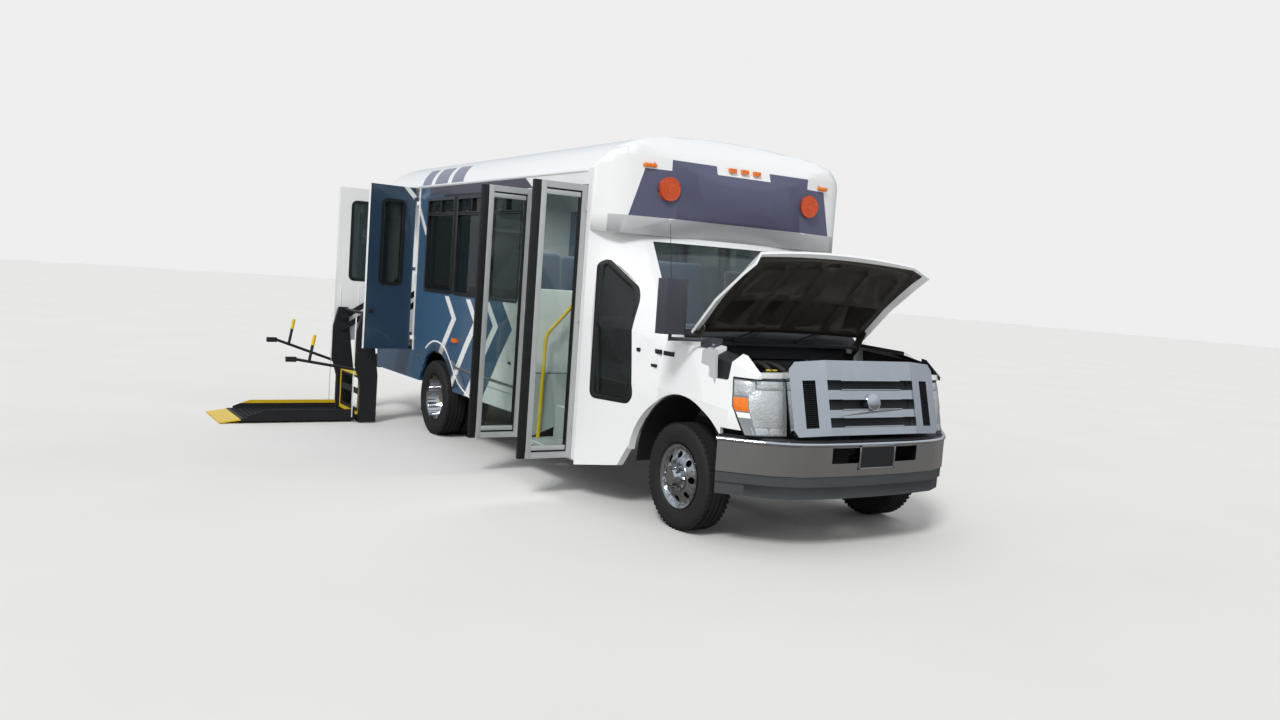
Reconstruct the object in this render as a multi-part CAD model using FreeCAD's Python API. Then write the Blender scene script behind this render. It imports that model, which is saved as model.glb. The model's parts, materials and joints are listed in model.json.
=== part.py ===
import FreeCAD, Part
import math
import os

V = FreeCAD.Vector

# A kerb-side lift minibus on a cutaway van chassis, in millimetres.
# While it is built, x runs forward from the front axle, y to the left from the centre plane,
# and z up from the ground. The last lines move everything to the middle of its own box.

# Chassis and wheels
WHEELBASE = 4013
TRACK_FRONT = 1763
TRACK_REAR = 1979
DUAL_SPACING = 246
TYRE_R = 372
TYRE_W = 223
RIM_SEAT_R = 203
RIM_FLANGE_R = 221
RIM_W = 170
RIM_WALL = 10
HUB_BORE_R = 60
FIT = 0.3
KINGPIN_Y = 700
KINGPIN_R = 22
FRONT_AXLE_Z = TYRE_R
REAR_X = -WHEELBASE
RAIL_Y = 430
RAIL_W = 65
RAIL_H = 160
RAIL_BOTTOM = 575
RAIL_FRONT = 590
CHANNEL_WALL = 8

# Bus body
BODY_HALF = 1219
BODY_REAR = -5850
WALL = 45
SKIRT_Z = 490
SKIRT_TUCK = 19
TUCK_Z = 960
GUTTER_Z = 2500
ROOF_Z = 2840
SHOULDER_Y = 600
SHOULDER_Z = 2800
FLOOR_Z = 840
FLOOR_T = 30
JAMB_X = -1040
SIDE_LEFT_X = -1800
CAP_BACK = -1100
ROOF_T = 40

# Cab
CAB_TOP = 2040
CAB_BELT = 1330
CAB_WIDEST = 950
CAB_WIDE_HALF = 1005
CAB_BOTTOM = 260
PILLAR_X = -280
SCREEN_X = -200
SCREEN_RAKE = 670
DOOR_FRONT = -400
DOOR_REAR = -1400
DOOR_GAP = 6
CAB_FLOOR_Z = 765
ARCH_R = 545
ARCH_Z = 392
GLASS_T = 6

# Entry doorway and its two leaves
ENTRY_REAR = -2070
ENTRY_FRONT = -1090
ENTRY_BOTTOM = 300
ENTRY_TOP = 2385
LEAF_T = 34
LEAF_EDGE = 16
LEAF_HINGE_OUT = 12
LEAF_PIN_IN = 24
STEP_COUNT = 3
ENTRY_HINGE_Z = (560, 1310, 2220)
LIFT_HINGE_Z = (900, 1580, 2300)
DOOR_HINGE_Z = (930, 1230)

# Lift doorway, its two leaves and the lift
LIFT_REAR = -5750
LIFT_FRONT = -4700
LIFT_SILL = 785
LIFT_HEAD = 2485
LIFT_LEAF_T = 38
LIFT_FRONT_ANGLE = 97
TOWER_FRONT = -4770
TOWER_T = 50
TOWER_Y = 1680
TOWER_TOP = 1130
ARM_T = 18
ARM_W = 56
ARM_LENGTH = 746
ARM_ANGLE = 32.4
ARM_SPACING = 120
PIN_R = 12
DECK_LENGTH = 1130
DECK_Y = 1742
DECK_T = 30
DECK_Z = 20
CURB_H = 115
CURB_T = 8
FLAP_LENGTH = 190
FOLD_PIVOT = (-1705, 60)
FOLD_PIN_R = 8
FLAP_PIVOT_Z = 36
BRIDGE_PIVOT = (-1691, 62)

# Hood and front end
HOOD_HALF = 830
HOOD_PANEL_T = 18
HOOD_T = 22
HOOD_REAR = -100
HOOD_OPEN = 47
HOOD_PIVOT = (-200, 1250)
GRILLE_LEAN = 14.95
GRILLE_FOOT = (860, 800)
GRILLE_MIDDLE = 400
GRILLE_HALF = 665
GRILLE_H = 480
GRILLE_SWEEP = 12

# Rear wheel opening
REAR_ARCH_R = 470

pieces = {}


def box(x0, x1, y0, y1, z0, z1):
    corner = V(min(x0, x1), min(y0, y1), min(z0, z1))
    return Part.makeBox(abs(x1 - x0), abs(y1 - y0), abs(z1 - z0), corner)


def wire(points):
    return Part.makePolygon([V(*p) for p in points] + [V(*points[0])])


def prism_x(outline, x0, x1):
    """A (y, z) outline carried from x0 to x1."""
    return Part.Face(wire([(x0, y, z) for y, z in outline])).extrude(V(x1 - x0, 0, 0))


def prism_y(outline, y0, y1):
    """An (x, z) outline carried from y0 to y1."""
    return Part.Face(wire([(x, y0, z) for x, z in outline])).extrude(V(0, y1 - y0, 0))


def prism_z(outline, z0, z1):
    """An (x, y) outline carried from z0 to z1."""
    return Part.Face(wire([(x, y, z0) for x, y in outline])).extrude(V(0, 0, z1 - z0))


def rod(start, end, radius):
    axis = V(*end) - V(*start)
    return Part.makeCylinder(radius, axis.Length, V(*start), axis)


def pipe(points, radius, bend):
    """A round tube along points, with an arc of radius bend at each inner point."""
    edges = []
    here = V(*points[0])
    for i in range(1, len(points) - 1):
        corner = V(*points[i])
        back = (here - corner).normalize()
        ahead = (V(*points[i + 1]) - corner).normalize()
        half = back.getAngle(ahead) / 2
        cut = bend / math.tan(half)
        start = corner + back * cut
        end = corner + ahead * cut
        middle = corner + (back + ahead).normalize() * (bend / math.sin(half) - bend)
        edges.append(Part.LineSegment(here, start).toShape())
        edges.append(Part.Arc(start, middle, end).toShape())
        here = end
    edges.append(Part.LineSegment(here, V(*points[-1])).toShape())
    path = Part.Wire(edges)
    first = V(*points[1]) - V(*points[0])
    ring = Part.Wire(Part.makeCircle(radius, V(*points[0]), first))
    return path.makePipeShell([ring], True, False)


def ring_y(outline, y_centre, x_centre, z_centre):
    """An outline of (radius, offset along y) turned about the y axis."""
    face = Part.Face(wire([(r, y, 0) for r, y in outline]))
    turned = face.revolve(V(0, 0, 0), V(0, 1, 0), 360)
    turned.translate(V(x_centre, y_centre, z_centre))
    return turned


def fuse(shapes):
    result = shapes[0].multiFuse(shapes[1:]) if len(shapes) > 1 else shapes[0]
    return result.removeSplitter()


def cut(shape, tools):
    return shape.cut(tools if isinstance(tools, list) else [tools])


def mirrored(shape):
    return shape.mirror(V(0, 0, 0), V(0, 1, 0))


def turned(shape, angle, point, axis):
    copy = shape.copy()
    copy.rotate(V(*point), V(*axis), angle)
    return copy


def soft_box(x0, x1, y0, y1, z0, z1, radius):
    """A box with its four edges along y rounded."""
    plain = box(x0, x1, y0, y1, z0, z1)
    return plain.makeFillet(radius, [e for e in plain.Edges if abs(e.tangentAt(e.FirstParameter).y) > 0.9])


def soft_block(x0, x1, y0, y1, z0, z1, radius):
    """A box with its four upright edges rounded."""
    plain = box(x0, x1, y0, y1, z0, z1)
    return plain.makeFillet(radius, [e for e in plain.Edges if abs(e.tangentAt(e.FirstParameter).z) > 0.9])


def frame_ring(x0, x1, z0, z1, border, y0, y1, radius=0):
    """A frame that stands in a side wall, its outer corners rounded where radius is given."""
    outer = soft_box(x0, x1, y0, y1, z0, z1, radius) if radius else box(x0, x1, y0, y1, z0, z1)
    return cut(outer, box(x0 + border, x1 - border, y0 - 1, y1 + 1, z0 + border, z1 - border))


# Upright hinges that stand proud of the body: lugs on the fixed side, straps and pins on the leaf
HINGE_LUG_R = 9
HINGE_PIN_R = 5
HINGE_LUG_H = 40
HINGE_STRAP_H = 34


def hinge_lugs(x, y, way, heights, foot_y, reach=22):
    """Bored lugs on the post; way points from the hinge towards the leaf."""
    lugs = []
    for z in heights:
        barrel = rod((x, y, z), (x, y, z + HINGE_LUG_H), HINGE_LUG_R)
        foot = box(x - way * 4, x - way * reach, y, foot_y, z, z + HINGE_LUG_H)
        web = box(x, x - way * reach, y - HINGE_LUG_R / 2, y + HINGE_LUG_R / 2, z, z + HINGE_LUG_H)
        bore = rod((x, y, z - 1), (x, y, z + HINGE_LUG_H + 1), HINGE_PIN_R + FIT)
        lugs.append(cut(fuse([barrel, foot, web]), bore))
    return lugs


def hinge_straps(x, y, way, heights, leaf_y, edge):
    """Straps above each lug with a pin down through it; edge is how far off the leaf begins."""
    straps = []
    side = 1 if leaf_y > y else -1
    for z in heights:
        z0 = z + HINGE_LUG_H + 1
        z1 = z0 + HINGE_STRAP_H
        pin = rod((x, y, z), (x, y, z1), HINGE_PIN_R)
        barrel = rod((x, y, z0), (x, y, z1), HINGE_LUG_R)
        arm = box(x, x + way * (edge + 20), y - HINGE_LUG_R / 2, y + HINGE_LUG_R / 2, z0, z1)
        drop = box(x + way * (edge - 4), x + way * (edge + 20), y, leaf_y + side * 6, z0, z1)
        straps.append(fuse([pin, barrel, arm, drop]))
    return straps


# Wheels and tyres
RIM_HALF = RIM_W / 2
TYRE_SECTION = [
    # radius, offset from the middle of the tread
    (RIM_SEAT_R + FIT, -RIM_HALF + 12),
    (RIM_SEAT_R + FIT, RIM_HALF - 12),
    (RIM_FLANGE_R + 4, RIM_HALF - 8),
    (262, TYRE_W / 2 - 6),
    (300, TYRE_W / 2),
    (345, TYRE_W / 2 - 8),
    (TYRE_R - 6, TYRE_W / 2 - 24),
    (TYRE_R, TYRE_W / 2 - 46),
    (TYRE_R, -TYRE_W / 2 + 46),
    (TYRE_R - 6, -TYRE_W / 2 + 24),
    (345, -TYRE_W / 2 + 8),
    (300, -TYRE_W / 2),
    (262, -TYRE_W / 2 + 6),
    (RIM_FLANGE_R + 4, -RIM_HALF + 8),
]
DISC_T = 12
HAND_HOLES = 8
HAND_HOLE_R = 24
HAND_HOLE_CIRCLE_R = 152
FRONT_DISC_OFFSET = 100
HUB_CAP_R = 70
HUB_CAP_LENGTH = 60


def tyre(x, y):
    return ring_y(TYRE_SECTION, y, x, TYRE_R)


def rim_section(side, disc_offset, bore):
    """Barrel, flanges and disc of one wheel; side is +1 where outboard is +y."""
    barrel_in = RIM_SEAT_R - RIM_WALL
    cone = disc_offset - 34
    return [
        (RIM_SEAT_R, side * (-RIM_HALF + 10)),
        (RIM_FLANGE_R, side * -RIM_HALF),
        (RIM_FLANGE_R, side * (-RIM_HALF - 6)),
        (barrel_in, side * (-RIM_HALF + 4)),
        (barrel_in, side * cone),
        (120, side * disc_offset),
        (bore, side * disc_offset),
        (bore, side * (disc_offset + DISC_T)),
        (120, side * (disc_offset + DISC_T)),
        (barrel_in, side * (cone + DISC_T)),
        (barrel_in, side * (RIM_HALF - 4)),
        (RIM_FLANGE_R, side * (RIM_HALF + 6)),
        (RIM_FLANGE_R, side * RIM_HALF),
        (RIM_SEAT_R, side * (RIM_HALF - 10)),
    ]


def hand_holes(x, y):
    """The round openings of a disc, as cutters right through the wheel."""
    holes = []
    for k in range(HAND_HOLES):
        turn = 2 * math.pi * k / HAND_HOLES
        hx = x + HAND_HOLE_CIRCLE_R * math.cos(turn)
        hz = TYRE_R + HAND_HOLE_CIRCLE_R * math.sin(turn)
        holes.append(rod((hx, y - TYRE_W, hz), (hx, y + TYRE_W, hz), HAND_HOLE_R))
    return holes


def front_wheel(side):
    y = side * TRACK_FRONT / 2
    rim = ring_y(rim_section(side, FRONT_DISC_OFFSET - DISC_T, HUB_BORE_R + FIT), y, 0, TYRE_R)
    rim = cut(rim, hand_holes(0, y))
    face_y = y + side * FRONT_DISC_OFFSET
    cap = rod((0, face_y, TYRE_R), (0, face_y + side * 14, TYRE_R), 112)
    dome = Part.makeCone(HUB_CAP_R, HUB_CAP_R - 18, HUB_CAP_LENGTH - 14,
                         V(0, face_y + side * 14, TYRE_R), V(0, side, 0))
    return fuse([rim, cap, dome])


def rear_wheels(side):
    """Two rims bolted back to back at the middle of the pair."""
    mid = side * TRACK_REAR / 2
    reach = DUAL_SPACING / 2
    rims = []
    for way in (side, -side):
        y = mid + way * reach
        section = rim_section(-way, reach - DISC_T, HUB_BORE_R + FIT)
        rims.append(cut(ring_y(section, y, REAR_X, TYRE_R), hand_holes(REAR_X, y)))
    hub = rod((REAR_X, mid + side * DISC_T, TYRE_R), (REAR_X, mid + side * 95, TYRE_R), 95)
    nose = Part.makeCone(62, 50, 50, V(REAR_X, mid + side * 95, TYRE_R), V(0, side, 0))
    return fuse(rims + [hub, nose])


for side, name in ((1, "left"), (-1, "right")):
    y_front = side * TRACK_FRONT / 2
    mid_rear = side * TRACK_REAR / 2
    pieces["tyre_front_" + name] = tyre(0, y_front)
    pieces["wheel_front_" + name] = front_wheel(side)
    pair = [tyre(REAR_X, mid_rear + way * DUAL_SPACING / 2) for way in (-1, 1)]
    pieces["tyres_rear_" + name] = Part.makeCompound(pair)
    pieces["wheels_rear_" + name] = rear_wheels(side)


# Steering knuckles: a fork round the axle eye, a spindle and a brake disc
AXLE_BEAM_H = 80
AXLE_BEAM_W = 70
FORK_T = 35
FORK_GAP = 6
BRAKE_R = 158


def knuckle(side):
    pin_y = side * KINGPIN_Y
    eye_half = AXLE_BEAM_H / 2 + FORK_GAP
    web_y = pin_y + side * 62
    parts = []
    for sign in (-1, 1):
        z0 = FRONT_AXLE_Z + sign * eye_half
        parts.append(box(-45, 45, pin_y - side * 40, web_y + side * 20, z0, z0 + sign * FORK_T))
    parts.append(rod((0, pin_y, FRONT_AXLE_Z - eye_half), (0, pin_y, FRONT_AXLE_Z + eye_half), KINGPIN_R))
    reach = eye_half + FORK_T
    parts.append(box(-45, 45, web_y, web_y + side * 20, FRONT_AXLE_Z - reach, FRONT_AXLE_Z + reach))
    face = side * (TRACK_FRONT / 2 + FRONT_DISC_OFFSET - FIT)
    parts.append(rod((0, web_y, FRONT_AXLE_Z), (0, face, FRONT_AXLE_Z), 42))
    parts.append(rod((0, face - side * 50, FRONT_AXLE_Z), (0, face, FRONT_AXLE_Z), HUB_BORE_R))
    parts.append(rod((0, web_y + side * 20, FRONT_AXLE_Z), (0, web_y + side * 46, FRONT_AXLE_Z), BRAKE_R))
    return fuse(parts)


for side, name in ((1, "left"), (-1, "right")):
    pieces["knuckle_" + name] = knuckle(side)


# Front axle beam with an eye at each end and a drop in the middle
def front_axle():
    drop = 60
    end = KINGPIN_Y - 70
    z0 = FRONT_AXLE_Z - AXLE_BEAM_H / 2
    z1 = FRONT_AXLE_Z + AXLE_BEAM_H / 2
    outline = [(-end - 30, z0), (-end + 20, z0), (-end + 80, z0 - drop), (end - 80, z0 - drop),
               (end - 20, z0), (end + 30, z0),
               (end + 30, z1), (end - 90, z1), (end - 170, z1 - drop), (-end + 170, z1 - drop),
               (-end + 90, z1), (-end - 30, z1)]
    beam = prism_x(outline, -AXLE_BEAM_W / 2, AXLE_BEAM_W / 2)
    eyes = [rod((0, s * KINGPIN_Y, z0), (0, s * KINGPIN_Y, z1), 42) for s in (-1, 1)]
    bores = [rod((0, s * KINGPIN_Y, z0 - 1), (0, s * KINGPIN_Y, z1 + 1), KINGPIN_R + FIT) for s in (-1, 1)]
    seat_z = RAIL_BOTTOM
    coils = [rod((0, s * 430, z1 - drop), (0, s * 430, seat_z), 55) for s in (-1, 1)]
    arms = [prism_y([(-30, z0 - drop), (-900, 500), (-900, 560), (-30, z0 - drop + 60)],
                    s * 360, s * 400) for s in (-1, 1)]
    hangers = [box(-960, -880, s * 360, s * 400, 500, RAIL_BOTTOM) for s in (-1, 1)]
    lugs = [box(-960, -880, s * 360, s * (RAIL_Y - RAIL_W / 2 + 40), RAIL_BOTTOM - 12, RAIL_BOTTOM)
            for s in (-1, 1)]
    return cut(fuse([beam] + eyes + coils + arms + hangers + lugs), bores)


pieces["front_axle"] = front_axle()


# Engine block: rear and front x, half width, bottom and top z
ENGINE = (-560, 330, 290, 470, 1110)

# Rear axle: housing with its round middle, leaf springs and hangers under the rails
SPRING_Y = 530
SPRING_HALF = 640
SPRING_T = 45
SPRING_W = 70
AXLE_TUBE_R = 52


def rear_axle():
    y_end = TRACK_REAR / 2 - DISC_T
    tube = rod((REAR_X, -y_end + FIT, TYRE_R), (REAR_X, y_end - FIT, TYRE_R), AXLE_TUBE_R)
    middle = rod((REAR_X, -110, TYRE_R), (REAR_X, 110, TYRE_R), 165)
    nose = rod((REAR_X, 0, TYRE_R), (REAR_X + 260, 0, TYRE_R), 75)
    shaft = rod((REAR_X + 200, 0, TYRE_R), (ENGINE[0] - 622.3, 0, 520), 38)
    parts = [tube, middle, nose, shaft]
    for s in (-1, 1):
        mid = s * TRACK_REAR / 2
        parts.append(rod((REAR_X, mid - s * 70, TYRE_R), (REAR_X, mid + s * (DISC_T - FIT), TYRE_R), HUB_BORE_R))
    top = TYRE_R + AXLE_TUBE_R
    for s in (-1, 1):
        y0 = s * (SPRING_Y - SPRING_W / 2)
        y1 = s * (SPRING_Y + SPRING_W / 2)
        outline = [(-SPRING_HALF, RAIL_BOTTOM - 40), (-300, top + 50), (0, top), (300, top + 50),
                   (SPRING_HALF, RAIL_BOTTOM - 40)]
        outline = outline + [(x, z + SPRING_T * (0.4 if abs(x) > 600 else 1)) for x, z in reversed(outline)]
        parts.append(prism_y([(REAR_X + x, z) for x, z in outline], y0, y1))
        parts.append(box(REAR_X - 60, REAR_X + 60, y0, y1, TYRE_R, top + 8))
        for end in (-1, 1):
            x = REAR_X + end * (SPRING_HALF - 30)
            z = RAIL_BOTTOM - 36
            parts.append(box(x - 30, x + 30, y0, s * (RAIL_Y - RAIL_W / 2), RAIL_BOTTOM - 14, RAIL_BOTTOM))
            parts.append(box(x - 30, x + 30, y0, y1, z, RAIL_BOTTOM))
        drum_y = s * (TRACK_REAR / 2 - DUAL_SPACING)
        parts.append(rod((REAR_X, drum_y, TYRE_R), (REAR_X, drum_y + s * 90, TYRE_R), 165))
    return fuse(parts)


pieces["rear_axle"] = rear_axle()


# Ladder frame: two channels and their crossmembers
CROSS_X = (520, -1250, -1950, -2900, -3550, -4700, -5600)
JACK_X = -2700
JACK_PAD_T = 8


def frame_rails():
    rails = []
    for s in (-1, 1):
        outer = box(BODY_REAR + 60, RAIL_FRONT, s * (RAIL_Y - RAIL_W / 2), s * (RAIL_Y + RAIL_W / 2),
                    RAIL_BOTTOM, RAIL_BOTTOM + RAIL_H)
        hollow = box(BODY_REAR, RAIL_FRONT + 1, s * (RAIL_Y - RAIL_W / 2 - 1),
                     s * (RAIL_Y + RAIL_W / 2 - CHANNEL_WALL),
                     RAIL_BOTTOM + CHANNEL_WALL, RAIL_BOTTOM + RAIL_H - CHANNEL_WALL)
        pad = box(JACK_X - 60, JACK_X + 60, s * (RAIL_Y - RAIL_W / 2), s * (RAIL_Y + RAIL_W / 2),
                  RAIL_BOTTOM - JACK_PAD_T, RAIL_BOTTOM)
        rails.append(fuse([cut(outer, hollow), pad]))
    return Part.makeCompound(rails)


def crossmembers():
    inner = RAIL_Y + RAIL_W / 2 - CHANNEL_WALL
    ribs = [box(x - 35, x + 35, -inner, inner, RAIL_BOTTOM + 20, RAIL_BOTTOM + 100) for x in CROSS_X]
    outriggers = []
    for x in OUTRIGGER_X:
        for s in (-1, 1):
            outriggers.append(box(x - 20, x + 20, s * (RAIL_Y + RAIL_W / 2), s * (BODY_HALF - WALL - 20),
                                  RAIL_BOTTOM + RAIL_H - 70, RAIL_BOTTOM + RAIL_H))
    return Part.makeCompound(ribs + outriggers)


OUTRIGGER_X = (-2250, -2900, -3350, -4640, -5300)
pieces["frame_rails"] = frame_rails()
pieces["crossmembers"] = crossmembers()

# Engine, gearbox and radiator: plain blocks at their real places


def engine():
    x0, x1, half, z0, z1 = ENGINE
    block = box(x0, x1, -half, half, z0, z1)
    gearbox = box(x0 - 620, x0, -150, 150, 440, 700)
    intake = box(x0 + 250, x1 - 80, -210, 210, z1, z1 + 60)
    tie = box(x1, 500, -40, 40, 800, 860)
    radiator = box(500, 560, -380, 380, RAIL_BOTTOM + RAIL_H, 1170)
    feet = [box(x1 - 300, x1 - 200, s * half, s * (RAIL_Y - RAIL_W / 2 + 20), RAIL_BOTTOM + RAIL_H,
                RAIL_BOTTOM + RAIL_H + 30) for s in (-1, 1)]
    return fuse([block, gearbox, intake, tie, radiator] + feet)


pieces["engine"] = engine()


# Exhaust and propeller shaft
def exhaust():
    z = 490
    run = pipe([(-1060, -150, z), (-1060, -330, z), (-3300, -330, z)], 35, 90)
    silencer = rod((-2700, -330, z), (-2000, -330, z), 90)
    hanger = box(-2920, -2880, -350, -310, z + 20, RAIL_BOTTOM + 20)
    return fuse([run, silencer, hanger])


# Fuel tank between the rails behind the rear axle
def fuel_tank():
    tank = box(-5350, -4750, -330, 330, 420, RAIL_BOTTOM + 20)
    inner = RAIL_Y + RAIL_W / 2 - CHANNEL_WALL
    seat_z = RAIL_BOTTOM + CHANNEL_WALL
    straps = [box(x, x + 40, -340, 340, 415, RAIL_BOTTOM + 20) for x in (-5250, -4900)]
    ears = [box(x, x + 40, -inner, inner, seat_z, RAIL_BOTTOM + 20) for x in (-5250, -4900)]
    return fuse([tank] + straps + ears)


pieces["exhaust"] = exhaust()
pieces["fuel_tank"] = fuel_tank()


# Bus body
def roof_arc(inset):
    """Centre height and radius of the cove, and where its inner face meets the gutter."""
    y_run = BODY_HALF - SHOULDER_Y
    drop = SHOULDER_Z - GUTTER_Z
    radius = (y_run ** 2 + drop ** 2) / (2 * drop)
    centre_z = SHOULDER_Z - radius
    r = radius - inset
    y_edge = SHOULDER_Y + math.sqrt(r ** 2 - (GUTTER_Z - centre_z) ** 2)
    return centre_z, r, y_edge


def roof_wire_points(inset):
    """Corner and mid-arc points of the roof line from left gutter to right gutter."""
    centre_z, r, y_edge = roof_arc(inset)
    start = math.atan2(GUTTER_Z - centre_z, y_edge - SHOULDER_Y)
    mid = (start + math.pi / 2) / 2
    cove = (SHOULDER_Y + r * math.cos(mid), centre_z + r * math.sin(mid))
    return y_edge, cove, centre_z + r, ROOF_Z - inset


def roof_line(x, inset):
    y_edge, cove, shoulder_z, top_z = roof_wire_points(inset)
    arcs = [
        Part.Arc(V(x, y_edge, GUTTER_Z), V(x, cove[0], cove[1]), V(x, SHOULDER_Y, shoulder_z)),
        Part.Arc(V(x, SHOULDER_Y, shoulder_z), V(x, 0, top_z), V(x, -SHOULDER_Y, shoulder_z)),
        Part.Arc(V(x, -SHOULDER_Y, shoulder_z), V(x, -cove[0], cove[1]), V(x, -y_edge, GUTTER_Z)),
    ]
    return [a.toShape() for a in arcs], y_edge


def roof_solid(x0, x1, inset, foot):
    """Everything under the roof line, down to the height foot."""
    arcs, y_edge = roof_line(x0, inset)
    base = [V(x0, -y_edge, GUTTER_Z), V(x0, -y_edge, foot), V(x0, y_edge, foot), V(x0, y_edge, GUTTER_Z)]
    lines = [Part.LineSegment(base[i], base[i + 1]).toShape() for i in range(3)]
    return Part.Face(Part.Wire(arcs + lines)).extrude(V(x1 - x0, 0, 0))


def roof():
    outer, y_out = roof_line(BODY_REAR, 0)
    inner, y_in = roof_line(BODY_REAR, ROOF_T)
    ends = [Part.LineSegment(V(BODY_REAR, s * y_out, GUTTER_Z), V(BODY_REAR, s * y_in, GUTTER_Z)).toShape()
            for s in (-1, 1)]
    loop = Part.Wire(Part.__sortEdges__(outer + inner + ends))
    return Part.Face(loop).extrude(V(CAP_BACK - BODY_REAR, 0, 0))


pieces["roof"] = roof()

INNER_HALF = BODY_HALF - WALL
WINDOW_SILL = 1420
WINDOW_HEAD = 2370
TRANSOM_Z = 2200
WINDOW_BORDER = 32
WINDOW_CORNER = 55
RIGHT_WINDOWS = [(-4430, -3690), (-3640, -2930), (-2860, -2190)]
LEFT_WINDOWS = [(-5560, -4880), (-4800, -4120), (-4040, -3360), (-3280, -2600), (-2520, -1900)]


def side_wall(x0, x1):
    """A slab of the left side wall whose skirt tucks in below the rub rail."""
    foot = BODY_HALF - SKIRT_TUCK
    outline = [(foot, SKIRT_Z), (BODY_HALF, TUCK_Z), (BODY_HALF, GUTTER_Z),
               (INNER_HALF, GUTTER_Z), (INNER_HALF, TUCK_Z), (foot - WALL, SKIRT_Z)]
    return prism_x(outline, x0, x1)


def window_holes(windows, side):
    return [soft_box(x0, x1, side * (INNER_HALF - 5), side * (BODY_HALF + 5), WINDOW_SILL, WINDOW_HEAD,
                     WINDOW_CORNER) for x0, x1 in windows]


def rear_arch(side):
    y0 = side * 600
    y1 = side * (BODY_HALF + 50)
    return fuse([rod((REAR_X, y0, TYRE_R), (REAR_X, y1, TYRE_R), REAR_ARCH_R),
                 box(REAR_X - REAR_ARCH_R, REAR_X + REAR_ARCH_R, y0, y1, 0, TYRE_R)])


def side_left():
    wall = side_wall(BODY_REAR, SIDE_LEFT_X)
    over_cab = box(SIDE_LEFT_X, CAP_BACK, INNER_HALF, BODY_HALF, CAB_TOP, GUTTER_Z)
    return cut(fuse([wall, over_cab]), window_holes(LEFT_WINDOWS, 1) + [rear_arch(1)])


def side_right():
    wall = mirrored(side_wall(BODY_REAR, JAMB_X))
    doorway = box(ENTRY_REAR, JAMB_X + 1, -BODY_HALF - 5, -INNER_HALF + 80, 0, ENTRY_TOP)
    front_post = box(ENTRY_FRONT, JAMB_X, -INNER_HALF, -BODY_HALF, ENTRY_BOTTOM, ENTRY_TOP)
    lift_way = box(LIFT_REAR, LIFT_FRONT, -BODY_HALF - 5, -INNER_HALF + 80, LIFT_SILL, LIFT_HEAD)
    wall = cut(wall, window_holes(RIGHT_WINDOWS, -1) + [rear_arch(-1), doorway, lift_way])
    lugs = []
    for x, way in ((LIFT_FRONT, -1), (LIFT_REAR, 1)):
        lugs += hinge_lugs(x, BODY_HINGE_Y, way, LIFT_HINGE_Z, -BODY_HALF + 22)
    for x, way in ((ENTRY_PIN_FRONT, -1), (ENTRY_PIN_REAR, 1)):
        lugs += hinge_lugs(x, ENTRY_PIN_Y, way, ENTRY_HINGE_Z, ENTRY_PIN_Y + 15, LEAF_PIN_IN + 3)
    return fuse([wall, front_post] + lugs)


BODY_HINGE_Y = -(BODY_HALF + LEAF_HINGE_OUT)
ENTRY_PIN_Y = -(BODY_HALF - 2 - LEAF_T / 2)
ENTRY_PIN_FRONT = ENTRY_FRONT - LEAF_PIN_IN
ENTRY_PIN_REAR = ENTRY_REAR + LEAF_PIN_IN


pieces["side_left"] = side_left()
pieces["side_right"] = side_right()


def rear_wall():
    face = roof_solid(BODY_REAR, BODY_REAR + WALL, ROOF_T, GUTTER_Z - 1)
    upper = face.common(box(BODY_REAR - 1, BODY_REAR + WALL + 1, -INNER_HALF, INNER_HALF, 0, 3000))
    lower = box(BODY_REAR, BODY_REAR + WALL, -INNER_HALF, INNER_HALF, TUCK_Z, GUTTER_Z)
    foot_z = RAIL_BOTTOM + 5
    foot = INNER_HALF - SKIRT_TUCK * (TUCK_Z - foot_z) / (TUCK_Z - SKIRT_Z)
    skirt = prism_x([(-foot, foot_z), (foot, foot_z), (INNER_HALF, TUCK_Z), (-INNER_HALF, TUCK_Z)],
                    BODY_REAR, BODY_REAR + WALL)
    window = box(BODY_REAR - 5, BODY_REAR + WALL + 5, -REAR_WINDOW_HALF, REAR_WINDOW_HALF,
                 WINDOW_SILL, WINDOW_HEAD - 120)
    return cut(fuse([upper, lower, skirt]), window)


REAR_WINDOW_HALF = 640
pieces["rear_wall"] = rear_wall()

# Floor, stepwell and their cut-outs
WELL_REAR = ENTRY_REAR + 10
WELL_FRONT = ENTRY_FRONT - 10
WELL_INNER = -560
TREAD_T = 25
CLOSED_LEAF_CLEAR = 8
BAY_X = (-5650, -4700)
BAY_Y = (-880, 230)
BAY_T = 3
WELL_OUTER = -(BODY_HALF - LEAF_T - CLOSED_LEAF_CLEAR)


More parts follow.
